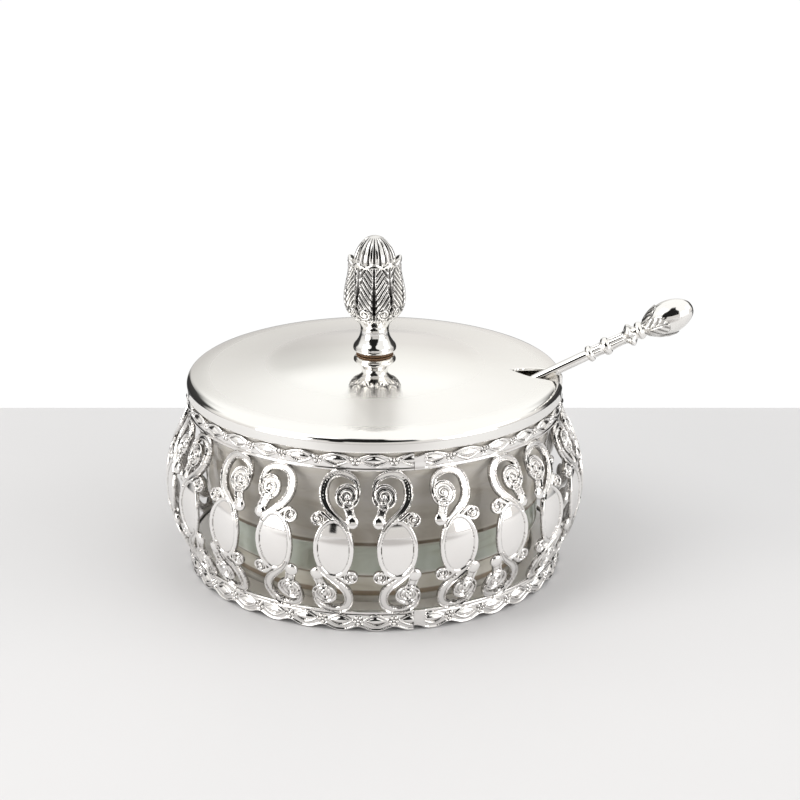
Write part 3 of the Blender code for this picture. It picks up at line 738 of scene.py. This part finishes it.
# ---------------------------------------------------------------------------------------------
# Base and liner
# ---------------------------------------------------------------------------------------------
AROUND = 288 if FINE else 144
out_r = WALL_PROFILE[0][1] - WALL_T - GAP
base_outline = [
    (0, 0), (WELL_R + WELL_T, 0), (WELL_R + WELL_T, LEDGE_Z - WELL_T), (out_r, LEDGE_Z - WELL_T),
    (out_r, LEDGE_Z), (WELL_R, LEDGE_Z), (WELL_R, WELL_T), (0, WELL_T),
]
base_outline = fillet(base_outline, [0, 0.5, 0.3, 0.2, 0.35, 0.45, 0.4, 0])
piece("pressed_base_plate", lathe_mesh("pressed_base_plate", dense(base_outline, 4.0), AROUND),
      MAT_BASE, "holder", ["base_plate"])

z0 = WELL_T + GAP
liner_outline = [
    (0, z0), (FOOT_R, z0), (FOOT_R, 5.6), (45.2, 6.8), (45.6, 12.6), (47.0, 13.6), (47.2, 22.0),
    (48.6, 22.8), (48.6, 25.2), (49.0, 30.0), (49.6, 38.0), (50.7, 42.5), (RIM_R, 46.2), (RIM_R, RIM_Z),
    (49.2, RIM_Z), (49.1, 50.5), (49.0, 46.5), (47.6, 42.0), (46.6, 38.0), (45.8, 31.0), (45.0, 25.0), (43.7, 17.0), (42.4, FLOOR_Z + 3.6),
    (38, FLOOR_Z + 0.8), (0, FLOOR_Z),
]
liner_outline = fillet(
    liner_outline,
    [0, 0.8, 0.6, 0.6, 0.6, 0.7, 0.7, 0.6, 0.6, 3, 3, 3, 1.5, 0.9, 0.9, 2, 2, 3, 3, 3, 3, 3, 4, 4, 0], 6)
piece("pressed_glass_liner", lathe_mesh("pressed_glass_liner", dense(liner_outline, 2.0), AROUND, sharp_deg=60),
      MAT_GLASS, "liner", ["glass_liner"])


# ---------------------------------------------------------------------------------------------
# Lid
# ---------------------------------------------------------------------------------------------
_dr = np.linspace(0, DOME_R, 600)
_ds = np.tan(np.radians(np.interp(_dr, *zip(*DOME_SLOPE))))
_ds = np.convolve(np.pad(_ds, 15, mode="edge"), np.ones(31) / 31, mode="valid")
_ds[0] = 0
_fall = np.concatenate([[0], np.cumsum((_ds[1:] + _ds[:-1]) / 2 * np.diff(_dr))])


def dome_z(r):
    return SHOULDER_Z + DOME_RISE * (1 - np.interp(r, _dr, _fall) / _fall[-1])


def lid_path():
    """(r, z) of the lid's outer face from the skirt's lower edge up and in to the screw's hole."""
    pts = [(LID_R, SKIRT_Z0)]
    pts += [(LID_R, z) for z in np.linspace(SKIRT_Z0 + 0.15, 53.8, 14 if FINE else 8)]
    steps = 22 if FINE else 10
    for k in range(1, steps + 1):  # rounded shoulder
        t = math.radians(72) * k / steps
        pts.append((LID_R - 2.0 + 2.0 * math.cos(t), 53.8 + 2.0 * math.sin(t)))
    for r in np.linspace(51.5, SCREW_BORE, 130 if FINE else 60):
        pts.append((r, float(dome_z(r)) - 0.02))
    return np.array(pts)


L = lid_path()
L_P = np.concatenate([[0], np.cumsum(np.hypot(*np.diff(L, axis=0).T))])
_d = np.gradient(L, L_P, axis=0)
_d /= np.hypot(_d[:, 0], _d[:, 1])[:, None]
L_N = np.stack([_d[:, 1], -_d[:, 0]], 1)


def notch_field(a, r):
    """Positive in the lid's metal, negative in the spoon's notch."""
    turn = a - (math.pi / 2 + NOTCH_AZ)
    x, y = r * np.cos(turn), r * np.sin(turn)
    t = np.clip((49.0 - x) / (49.0 - NOTCH_TIP), 0, 4)
    half = NOTCH_HALF * (1 - t ** 2.15)
    return np.where(x > 0, np.clip(np.abs(y) - half, -3, 5), 5.0)


def lid_face(a, p, depth):
    r = np.interp(p, L_P, L[:, 0])
    near = notch_field(a, r)
    roll = 0.0
    if depth == 0.0:
        roll = 0.16 * (1 - np.clip(near / 0.35, 0, 1)) ** 2 + 0.18 * (1 - np.clip(p / 0.35, 0, 1)) ** 2
    nr, nz = np.interp(p, L_P, L_N[:, 0]), np.interp(p, L_P, L_N[:, 1])
    rr = r - nr * (depth + roll)
    zz = np.interp(p, L_P, L[:, 1]) - nz * (depth + roll)
    return np.stack([rr * np.sin(a), -rr * np.cos(a), zz], 1)


na = math.pi / 2 + NOTCH_AZ
near_cells = np.arange(-8.0, 8.01, 0.25 if FINE else 0.5)
far_cells = np.linspace(8.0, 352.0, 345 if FINE else 173)[1:-1]
lid_a = np.radians(np.concatenate([near_cells, far_cells])) + na
lid_field = notch_field(lid_a[:, None], np.interp(L_P, L_P, L[:, 0])[None, :])
lid_field = np.where(np.abs(lid_field) < 1e-4, 1e-4, lid_field)
piece("spun_lid_shell", sheet_mesh(
    "spun_lid_shell", lid_a, L_P, lid_field,
    lambda a, p: lid_face(a, p, 0.0), lambda a, p: lid_face(a, p, LID_T), periodic=True, sharp_deg=45),
    MAT_LID, "lid", ["lid_shell"])

# ---------------------------------------------------------------------------------------------
# Finial, washers and screw
# ---------------------------------------------------------------------------------------------
FIN_STEP = 14 if FINE else 7
FOOT = -0.5  # the foot comes down close to the lid, with a thin washer under it
fin_low = catmull([(5.2, FOOT), (5.85, FOOT + 0.35), (6.15, 0.55), (5.95, 1.5), (5.1, 2.7), (4.4, 4.0), (4.05, 5.6),
                   (4.15, 6.9), (4.8, 8.1), (6.3, 9.8), (7.6, 11.6), (8.3, 13.6), (8.5, 15.6), (8.3, 18.0),
                   (7.85, 20.4), (7.45, 22.6), (7.3, 24.3), (7.45, 25.5), (7.7, 26.5)], FIN_STEP)
fin_lip = catmull([(7.7, 26.5), (7.5, 26.95), (6.9, 26.8), (6.2, 26.0), (5.85, 25.6)], 8)[1:]
fin_bud = catmull([(5.85, 25.6), (5.85, 26.4), (5.65, 27.6), (5.2, 28.9), (4.5, 30.2), (3.6, 31.4), (2.55, 32.35),
                   (1.35, 32.95), (0.0, TIP_Z - FINIAL_Z)], FIN_STEP // 2 + 1)[1:]
fin_prof = np.vstack([
    np.array([(0.0, 8.4), (SCREW_BORE - 0.3, 8.4), (SCREW_BORE, 8.1), (SCREW_BORE, 4.0), (SCREW_BORE, FOOT + 0.3),
              (SCREW_BORE + 0.3, FOOT)]),
    fin_low, fin_lip, fin_bud,
])
N_CORE = 6
LEAF_AZ = math.radians(-1.5)


def leaf_relief(side, rise, half, t):
    """Height and painted shade of one leaf: a sunk midrib, steep veins and a turned edge, with painted shade darkening
    the veins and the midrib. side is the distance from its midrib in mm, half its half width there and t runs from 0
    at its foot to 1."""
    off = np.abs(side)
    phase = ((rise - 1.40 * off) / 1.80) % 1.0
    cut = np.exp(-((phase - 0.5) / 0.22) ** 2) * smooth(off, 0.35, 0.75) * smooth(half - off, 0.05, 0.40)
    rib_w = 0.24 + 0.50 * smooth(t, 0.02, 0.25) * (1 - smooth(t, 0.42, 0.72))
    rib = np.exp(-(side / rib_w) ** 4) * smooth(t, -0.05, 0.05)
    h = 0.38 - 0.50 * cut - 0.60 * rib + 0.12 * np.cos(math.pi * np.clip(off / np.maximum(half, 0.3), 0, 1))
    return h, np.clip(0.95 * cut + 1.0 * rib, 0, 1)


def finial_shape(G, I, R, Z):
    """Five acanthus leaves before five others, with curled feet, and a ribbed bud inside, each with painted shade in
    its grooves.
    """
    rise = Z
    step = 2 * math.pi / 5
    turn = (G - LEAF_AZ + step / 2) % step - step / 2  # from the nearest front leaf
    turn_b = (G - LEAF_AZ) % step - step / 2  # from the nearest rear leaf
    on_cup = (I >= N_CORE) & (rise > 8.0) & (I < N_CORE + len(fin_low) + len(fin_lip) - 4)
    t = np.clip((rise - 9.6) / 16.9, 0, 1)
    half_a = np.interp(t, [0, 0.10, 0.30, 0.55, 0.8, 0.93, 1.0], [0.16, 0.40, 0.56, 0.50, 0.40, 0.30, 0.16])
    half_a = half_a + 0.05 * np.abs(np.sin(math.pi * 5.5 * t)) * smooth(t, 0.1, 0.2)
    side, half = turn * R, half_a * R
    h_front, dark_front = leaf_relief(side, rise, half, t)
    h_rear, dark_rear = leaf_relief(turn_b * R, rise + 0.5, np.full_like(R, 4.5), t)
    edge = half - np.abs(side)
    on_front = smooth(edge, -0.10, 0.12)
    h = (h_rear - 0.38) * (1 - on_front) + h_front * on_front
    dark = dark_rear * (1 - on_front) + dark_front * on_front
    # a groove where the front leaf lies over the rear one, with painted shade along it
    seam = np.exp(-((edge + 0.10) / 0.15) ** 2) * smooth(rise, 12.0, 13.5)
    h = h - 0.15 * seam
    dark = np.maximum(dark, 0.85 * seam)
    # curled feet on both sides of each front leaf's midrib
    for sgn in (-1, 1):
        du, dz = (turn - sgn * 0.36) * R, rise - 12.3
        rr = np.hypot(du, dz)
        th = np.arctan2(dz, du * sgn)
        phase = (rr / 0.95 - th / (2 * math.pi)) % 1.0
        cut = np.exp(-((phase - 0.5) / 0.17) ** 2) * smooth(rr, 0.25, 0.5)
        inside = smooth(2.05 - rr, 0.0, 0.2)
        h = h * (1 - inside) + (0.42 - 0.36 * cut) * inside
        # painted shade in the foot's spiral groove, and below in a ring round the foot
        dark = dark * (1 - inside) + 0.9 * cut * inside
        ring = np.exp(-((rr - 2.15) / 0.16) ** 2) * (rise < 13.5)
        h = h - 0.25 * ring
        dark = np.maximum(dark, 0.8 * ring)
    grow = smooth(rise, 8.6, 10.6)
    tip = 0.5 + 0.5 * np.cos(10 * (G - LEAF_AZ))
    top = smooth(rise, 25.1, 25.9) * on_cup  # plain turned rim
    h = h * (1 - top) + 0.12 * top
    dark = dark * (1 - top)
    lip = smooth(rise, 24.6, 26.8) * on_cup
    R2 = R + (h - 0.12) * grow * on_cup + lip * (0.40 * tip - 0.22)
    Z2 = Z - lip * 0.85 * (1 - tip) ** 1.3
    # ribs on the bud
    bud = I >= N_CORE + len(fin_low) + len(fin_lip) - 1
    fade = smooth(33.0 - rise, 0.0, 0.55) * bud
    rib = np.abs(np.sin(10 * (G - LEAF_AZ)))
    cut = np.clip(1 - rib / 0.72, 0, 1) ** 0.7
    R2 = R2 - fade * 0.62 * cut * np.clip(R / 5.0, 0.12, 1)
    # painted shade in the leaves' grooves where the leaves stand out, and in the grooves between the bud's ribs
    dark = np.where(on_cup, dark * grow, 0)
    dark = np.where(bud, fade * cut, dark)
    return R2, Z2 + FINIAL_Z, dark


fin_scaled = np.array(fin_prof)
# poles are placed without shape(), so their heights are absolute
mesh = lathe_mesh("cast_lid_finial", fin_scaled, 360 if FINE else 160, finial_shape, sharp_deg=70)
pole_co = np.zeros(len(mesh.vertices) * 3, np.float32)
mesh.vertices.foreach_get("co", pole_co)
pole_co = pole_co.reshape(-1, 3)
pole_co[-2:, 2] += FINIAL_Z * MM
mesh.vertices.foreach_set("co", pole_co.ravel())
mesh.update()
piece("cast_lid_finial", mesh, MAT_CAST, "lid", ["lid_finial"])

z = SHOULDER_Z + DOME_RISE + 0.08
piece("fibre_seat_washer", lathe_mesh("fibre_seat_washer", dense(fillet([
    (SCREW_BORE, z + 0.2), (SCREW_BORE, z), (5.3, z), (5.3, z + 0.42), (SCREW_BORE, z + 0.42),
    (SCREW_BORE, z + 0.22)], 0.12), 1.5), 96, closed=True),
    MAT_FIBRE, "lid", ["finial_seat_washer"])
z = SHOULDER_Z + DOME_RISE - LID_T - 0.15 - GAP
piece("steel_lock_washer", lathe_mesh("steel_lock_washer", dense(fillet([
    (SCREW_BORE, z - 0.3), (SCREW_BORE, z - 0.6), (3.7, z - 0.6), (3.7, z), (SCREW_BORE, z), (SCREW_BORE, z - 0.28)],
    0.12), 1.0), 72, closed=True), MAT_STEEL, "lid", ["finial_lock_washer"])
z -= 0.6 + GAP


def screw_shape(G, I, R, Z):
    """Fine thread on the shank."""
    thread = (Z > z + 0.6) & (Z < FINIAL_Z + 6.9) & (R > 0.9)
    turn = 0.12 * (0.5 + 0.5 * np.cos(2 * math.pi * (Z / 0.7 - G / (2 * math.pi))))
    # the third value, painted shade in the thread, is kept on the mesh but the steel material does not read it
    return np.where(thread, R - turn, R), Z, np.where(thread, turn * 3, 0)


screw_prof = fillet([(0, z - 2.1), (2.3, z - 1.9), (3.1, z - 1.2), (3.1, z), (SCREW_R, z), (SCREW_R, FINIAL_Z + 6.9),
                     (SCREW_R - 0.4, FINIAL_Z + 7.4), (0, FINIAL_Z + 7.4)], [0, 0.5, 0.5, 0.2, 0.1, 0.2, 0.2, 0])
piece("machined_finial_screw", lathe_mesh("machined_finial_screw", dense(screw_prof, 0.11 if FINE else 0.3), 48, screw_shape),
      MAT_STEEL, "lid", ["finial_screw"])

# ---------------------------------------------------------------------------------------------
# Spoon, in its own frame: origin where it crosses the rim, local Z out along the stem
# ---------------------------------------------------------------------------------------------
out = Vector((math.cos(SPOON_RISE) * math.cos(SPOON_AZ), math.cos(SPOON_RISE) * math.sin(SPOON_AZ), math.sin(SPOON_RISE)))
up = Vector((-math.sin(SPOON_RISE) * math.cos(SPOON_AZ), -math.sin(SPOON_RISE) * math.sin(SPOON_AZ), math.cos(SPOON_RISE)))
side = up.cross(out)
tip = Vector((SPOON_TIP[0] * math.cos(SPOON_AZ), SPOON_TIP[0] * math.sin(SPOON_AZ), SPOON_TIP[1]))
SPOON_M = Matrix.Translation((tip - out * TIP_T) * MM) @ Matrix((side, up, out)).transposed().to_4x4()


def down_to(points, per):
    return catmull(points, per)


SP = 12 if FINE else 5
bud = catmull([(0, 0), (1.5, 0.35), (2.9, 1.6), (4.15, 4.0), (4.7, 6.8), (4.45, 9.6), (3.5, 12.2), (2.3, 14.1), (1.95, 14.8)], SP * 2)
collar = catmull([(1.95, 14.8), (2.35, 15.4), (2.62, 16.15), (2.35, 16.85), (1.8, 17.3)], SP)[1:]
crown = catmull([(1.8, 17.3), (2.1, 17.75), (2.9, 18.5), (3.2, 19.05), (2.9, 19.6), (2.1, 20.35), (1.8, 20.8)], SP)[1:]
flute1 = catmull([(1.8, 20.8), (1.72, 22.6), (1.85, 24.6), (1.9, 25.3)], SP * 2)[1:]
ring2 = catmull([(1.9, 25.3), (2.35, 25.6), (2.62, 26.45), (2.35, 27.3), (1.8, 27.6)], SP)[1:]
flute2 = catmull([(1.8, 27.6), (1.7, 29.0), (1.75, 30.6)], SP * 2)[1:]
ring1 = catmull([(1.75, 30.6), (2.15, 30.85), (2.38, 31.5), (2.15, 32.15), (1.5, 32.5)], SP)[1:]
stem = np.array([(1.5, t) for t in np.linspace(34, 96, 60)] + [(1.55, 99), (1.62, 102), (1.7, 104), (1.6, 105.6),
                (1.3, SPOON_L - BOWL_L - GAP), (0, SPOON_L - BOWL_L - GAP)])
handle = np.vstack([bud, collar, crown, flute1, ring2, flute2, ring1, stem])
handle_z = handle.copy()
handle_z[:, 1] = TIP_T - handle[:, 1]
handle_z = handle_z[::-1]  # from the bowl's end up to the tip


def handle_shape(G, I, R, Z):
    t = TIP_T - Z
    # dark: painted shade between the crown's beads, in the flutes and in the calyx's veins, midribs and edges
    dark = np.zeros_like(R)
    # crown of four beads
    k = smooth(t, 17.5, 18.4) * (1 - smooth(t, 19.7, 20.6))
    bead = np.abs(np.cos(2 * (G - math.pi / 4)))
    R2 = R + k * (0.85 * bead ** 1.4 - 0.55)
    dark = dark + k * (1 - bead) ** 3 * 0.7
    # fluted lengths of the stem
    for a, b in ((20.9, 25.3), (27.7, 30.5)):
        fl = smooth(t, a, a + 0.5) * (1 - smooth(t, b - 0.5, b))
        wave = np.abs(np.sin(3.5 * G))
        R2 = R2 - fl * 0.28 * (1 - wave) ** 1.5
        dark = dark + fl * (1 - wave) ** 2 * 0.6
    # veined calyx over the bud's lower half, four leaves
    length = np.interp(np.cos(G), [-1, 1], [5.6, 8.4])
    turn = (G + math.pi / 4) % (math.pi / 2) - math.pi / 4
    along_t = np.clip((14.8 - t) / length, 0, 1.3)
    half = 0.80 * np.sqrt(np.clip(1 - along_t ** 2.4, 0, 1)) + 0.02
    off = np.abs(turn) * R
    edge = (half - np.abs(turn)) * np.maximum(R, 0.5)
    on = smooth(edge, -0.02, 0.10) * (along_t < 1.0) * (t > 5) * (t < 15.0)
    phase = ((14.8 - t - 1.1 * off) / 2.1) % 1.0
    cut = np.exp(-((phase - 0.5) / 0.17) ** 2) * smooth(off, 0.25, 0.6) * smooth(edge, 0.15, 0.4) * on
    rib = np.exp(-(turn * R / 0.16) ** 2) * on * smooth(along_t, 0.15, 0.3)
    seam = np.exp(-((edge + 0.05) / 0.17) ** 2) * (t > 5) * (t < 14.6) * (along_t < 1.05)
    R2 = R2 + on * (0.42 - 0.26 * cut - 0.22 * rib) * smooth(15.0 - t, 0.0, 0.8)
    dark = dark + 0.8 * cut + 0.8 * rib + 0.95 * seam
    return R2, Z, np.clip(dark, 0, 1)


mesh = lathe_mesh("spoon_stem", handle_z, 144 if FINE else 64, handle_shape, sharp_deg=60)
mesh.transform(SPOON_M)
piece("spoon_stem", mesh, MAT_SPOON, "spoon", ["spoon_handle"])


def spoon_bowl_mesh():
    around, rings = (120, 26) if FINE else (60, 14)
    centre = TIP_T - (SPOON_L - BOWL_L / 2)
    a = np.arange(around) * 2 * math.pi / around
    f = np.sin(np.linspace(0, math.pi / 2, rings + 1))[1:]
    A, Fr = np.meshgrid(a, f, indexing="ij")
    egg = 1 - 0.16 * np.cos(A)
    x = BOWL_HALF_W * Fr * np.sin(A) * egg
    zz = centre + BOWL_L / 2 * Fr * np.cos(A)
    y = -BOWL_DEPTH * (1 - Fr ** 2)
    thick = BOWL_T * (0.55 + 0.45 * (1 - Fr ** 6))
    upper = np.stack([x, y, zz], 2)
    lower = np.stack([x * 0.995, y - thick, centre + (zz - centre) * 0.998], 2)
    nv = around * rings
    co = np.vstack([upper.reshape(-1, 3), lower.reshape(-1, 3), [[0, -BOWL_DEPTH, centre], [0, -BOWL_DEPTH - BOWL_T, centre]]])
    ids = np.arange(nv).reshape(around, rings)
    nx = np.roll(ids, -1, 0)
    quads = np.stack([ids[:, :-1], ids[:, 1:], nx[:, 1:], nx[:, :-1]], 2).reshape(-1, 4)
    top_fan = np.stack([np.full(around, 2 * nv), ids[:, 0], nx[:, 0]], 1)
    bottom_fan = np.stack([np.full(around, 2 * nv + 1), nx[:, 0] + nv, ids[:, 0] + nv], 1)
    rim = np.stack([ids[:, -1], ids[:, -1] + nv, nx[:, -1] + nv, nx[:, -1]], 1)
    # upper faces look along +Y in this frame
    polys = [quads, quads[:, ::-1] + nv, top_fan, bottom_fan, rim]
    return mesh_of("spoon_dish", co, polys, 50)


mesh = spoon_bowl_mesh()
mesh.transform(SPOON_M)
piece("spoon_dish", mesh, MAT_SPOON, "spoon", ["spoon_bowl"])

# ---------------------------------------------------------------------------------------------
# Floor, light and camera
# ---------------------------------------------------------------------------------------------
floor_mesh = bpy.data.meshes.new("floor")
floor_mesh.from_pydata([(-2.2, -1.6, -0.0001), (2.2, -1.6, -0.0001), (2.2, 0.123, -0.0001), (-2.2, 0.123, -0.0001)], [], [(0, 1, 2, 3)])
floor = bpy.data.objects.new("floor", floor_mesh)
bpy.context.scene.collection.objects.link(floor)
fm, fn, fl, fs = new_material("floor_paper")
spots = noise(fn, fl, 3.0, 3.0, 0.5, object_coords(fn))
tone = ramp(fn, fl, spots.outputs["Fac"], [(0.35, (0.715, 0.715, 0.728)), (0.65, (0.75, 0.745, 0.755))])
# painted shade: from 0.145 m before the holder towards the camera the paper darkens towards grey, fully in the middle
# and to about a third at the sides
place = fn.new("ShaderNodeSeparateXYZ")
fl.new(object_coords(fn), place.inputs["Vector"])
near = fn.new("ShaderNodeMapRange")
near.interpolation_type = "SMOOTHSTEP"
for key, value in (("From Min", -0.145), ("From Max", -0.225), ("To Min", 0.0), ("To Max", 1.0)):
    near.inputs[key].default_value = value
fl.new(place.outputs["Y"], near.inputs["Value"])
aside = fn.new("ShaderNodeMath")
aside.operation = "ABSOLUTE"
fl.new(place.outputs["X"], aside.inputs[0])
middle = fn.new("ShaderNodeMapRange")
middle.interpolation_type = "SMOOTHSTEP"
for key, value in (("From Min", 0.08), ("From Max", 0.30), ("To Min", 1.0), ("To Max", 0.35)):
    middle.inputs[key].default_value = value
fl.new(aside.outputs[0], middle.inputs["Value"])
front_floor_shade = fn.new("ShaderNodeMath")
front_floor_shade.operation = "MULTIPLY"
fl.new(near.outputs["Result"], front_floor_shade.inputs[0])
fl.new(middle.outputs["Result"], front_floor_shade.inputs[1])
mixf = fn.new("ShaderNodeMix")
mixf.data_type = "RGBA"
mixf.inputs["B"].default_value = (0.47, 0.455, 0.455, 1)
fl.new(front_floor_shade.outputs[0], mixf.inputs["Factor"])
fl.new(tone.outputs["Color"], mixf.inputs["A"])
fl.new(mixf.outputs["Result"], fs.inputs["Base Color"])
fs.inputs["Roughness"].default_value = 0.7
fs.inputs["Specular IOR Level"].default_value = 0.2
floor_mesh.materials.append(fm)

world = bpy.data.worlds.new("studio")
bpy.context.scene.world = world
world.use_nodes = True
wn, wl = world.node_tree.nodes, world.node_tree.links
bg = wn["Background"]
coord = wn.new("ShaderNodeTexCoord").outputs["Generated"]
sep = wn.new("ShaderNodeSeparateXYZ")
wl.new(coord, sep.inputs["Vector"])


def sky_math(kind, x, y=None):
    n = wn.new("ShaderNodeMath")
    n.operation = kind
    for socket, value in zip(n.inputs, (x, y)):
        if value is None:
            continue
        if isinstance(value, (int, float)):
            socket.default_value = value
        else:
            wl.new(value, socket)
    return n.outputs[0]


def sky_step(x, lo, hi, a=0.0, b=1.0):
    n = wn.new("ShaderNodeMapRange")
    n.interpolation_type = "SMOOTHSTEP"
    wl.new(x, n.inputs["Value"])
    for key, value in (("From Min", lo), ("From Max", hi), ("To Min", a), ("To Max", b)):
        n.inputs[key].default_value = value
    return n.outputs["Result"]


SKY_Z = sep.outputs["Z"]
# bearing from the front (-Y) towards +X
bearing = sky_math("ARCTAN2", sep.outputs["X"], sky_math("MULTIPLY", sep.outputs["Y"], -1.0))
height = sky_step(SKY_Z, -1.0, 1.0)
height.node.interpolation_type = "LINEAR"
sky = ramp(wn, wl, height, [
    (0.0, (0.80, 0.80, 0.80)), (0.40, (0.95, 0.95, 0.95)), (0.485, (0.95, 0.95, 0.95)), (0.505, (0.745, 0.72, 0.70)),
    (0.60, (0.765, 0.745, 0.72)), (0.68, (0.89, 0.88, 0.85)), (0.76, (1.0, 1.0, 0.98)), (1.0, (1.0, 0.99, 0.97)),
])
# the unlit end of the studio, a tall dark gap round the camera
off_axis = sky_math("ABSOLUTE", sky_math("ADD", bearing, 0.15))
half_gap = sky_step(SKY_Z, 0.60, 0.84, 0.61, 0.32)
gap_mask = sky_step(sky_math("SUBTRACT", off_axis, half_gap), -0.05, 0.05, 1.0, 0.0)
gap_mask = sky_math("MULTIPLY", gap_mask, sky_step(SKY_Z, 0.26, 0.31))
gap_mask = sky_math("MULTIPLY", gap_mask, sky_step(SKY_Z, 0.90, 0.98, 1.0, 0.0))
# a narrow dark door below it to the left
door = sky_step(sky_math("ABSOLUTE", sky_math("ADD", bearing, 0.39)), 0.055, 0.10, 1.0, 0.0)
door = sky_math("MULTIPLY", door, sky_step(SKY_Z, 0.085, 0.115))
door = sky_math("MULTIPLY", door, sky_step(SKY_Z, 0.30, 0.36, 1.0, 0.0))
# and a dimmer stretch at the level of the table before the camera
before = sky_math("MULTIPLY", sky_step(off_axis, 0.50, 0.95, 1.0, 0.0), sky_step(SKY_Z, -0.01, 0.0))
before = sky_math("MULTIPLY", before, sky_step(SKY_Z, 0.22, 0.30, 1.0, 0.0))
# grey flags behind and to each side
turn_off = sky_math("ABSOLUTE", bearing)
flag = sky_math("MULTIPLY", sky_step(turn_off, 1.95, 2.15), sky_step(turn_off, 2.74, 2.86, 1.0, 0.0))
flag = sky_math("MULTIPLY", flag, sky_step(sky_math("ABSOLUTE", SKY_Z), 0.38, 0.60, 1.0, 0.0))
# low grey band along the back of the studio
band = sky_math("MULTIPLY", sky_step(turn_off, 1.2, 1.7), sky_step(SKY_Z, -0.15, -0.14))
band = sky_math("MULTIPLY", band, sky_step(SKY_Z, -0.06, 0.04, 1.0, 0.0))
shade = sky_math("SUBTRACT", 1.0, sky_math("MULTIPLY", gap_mask, 0.985))
shade = sky_math("MULTIPLY", shade, sky_math("SUBTRACT", 1.0, sky_math("MULTIPLY", flag, 0.93)))
shade = sky_math("MULTIPLY", shade, sky_math("SUBTRACT", 1.0, sky_math("MULTIPLY", band, 0.62)))
shade = sky_math("MULTIPLY", shade, sky_math("SUBTRACT", 1.0, sky_math("MULTIPLY", door, 0.97)))
shade = sky_math("MULTIPLY", shade, sky_math("SUBTRACT", 1.0, sky_math("MULTIPLY", before, 0.12)))
# the back of the studio is dimmer towards the left
left = sky_math("MULTIPLY", sky_step(sep.outputs["X"], -0.13, 0.05, 1.0, 0.0), sky_step(sep.outputs["Y"], 0.2, 0.6))
left = sky_math("MULTIPLY", left, sky_step(SKY_Z, 0.36, 0.50, 1.0, 0.0))
left = sky_math("MULTIPLY", left, sky_step(SKY_Z, -0.02, 0.03))
shade = sky_math("MULTIPLY", shade, sky_math("SUBTRACT", 1.0, sky_math("MULTIPLY", left, 0.24)))
mixw = wn.new("ShaderNodeVectorMath")
mixw.operation = "SCALE"
wl.new(sky.outputs["Color"], mixw.inputs[0])
wl.new(shade, mixw.inputs["Scale"])
# the flags are out of sight: seen directly, the backdrop is plain
backdrop = wn.new("ShaderNodeMix")
backdrop.data_type = "RGBA"
backdrop.inputs["B"].default_value = (0.95, 0.95, 0.95, 1)
wl.new(wn.new("ShaderNodeLightPath").outputs["Is Camera Ray"], backdrop.inputs["Factor"])
wl.new(mixw.outputs[0], backdrop.inputs["A"])
wl.new(backdrop.outputs["Result"], bg.inputs["Color"])
bg.inputs["Strength"].default_value = 1.07


def area(name, place, look, size, power, tint=(1, 1, 1)):
    data = bpy.data.lights.new(name, "AREA")
    data.shape = "RECTANGLE"
    data.size, data.size_y = size
    data.energy = power
    data.color = tint
    obj = bpy.data.objects.new(name, data)
    bpy.context.scene.collection.objects.link(obj)
    obj.location = place
    obj.rotation_euler = (Vector(look) - Vector(place)).to_track_quat("-Z", "Y").to_euler()
    return obj


area("key_softbox", (-0.55, -0.25, 0.85), (0, 0, 0.03), (0.5, 0.5), 2.2, (1.0, 0.985, 0.96))
area("fill_softbox", (0.7, -0.1, 0.5), (0, 0, 0.03), (0.4, 0.4), 0.5)
area("front_left_softbox", (-0.78, -0.56, 0.26), (0, 0, 0.03), (0.6, 0.45), 2.4, (1.0, 0.99, 0.97))
area("front_right_softbox", (0.78, -0.52, 0.26), (0, 0, 0.03), (0.6, 0.45), 2.0, (1.0, 0.99, 0.98))

camera = bpy.data.cameras.new("camera")
camera.sensor_width = 36.0
camera.lens = 94.5
camera.clip_start, camera.clip_end = 0.05, 20.0
camera.shift_x = 0.03155
camera_obj = bpy.data.objects.new("camera", camera)
bpy.context.scene.collection.objects.link(camera_obj)
camera_obj.location = (0.0, -0.56571, 0.25067)
camera_obj.rotation_euler = (math.radians(90 - 19.794), 0, 0)
bpy.context.scene.camera = camera_obj
bpy.context.scene.view_settings.view_transform = "Standard"
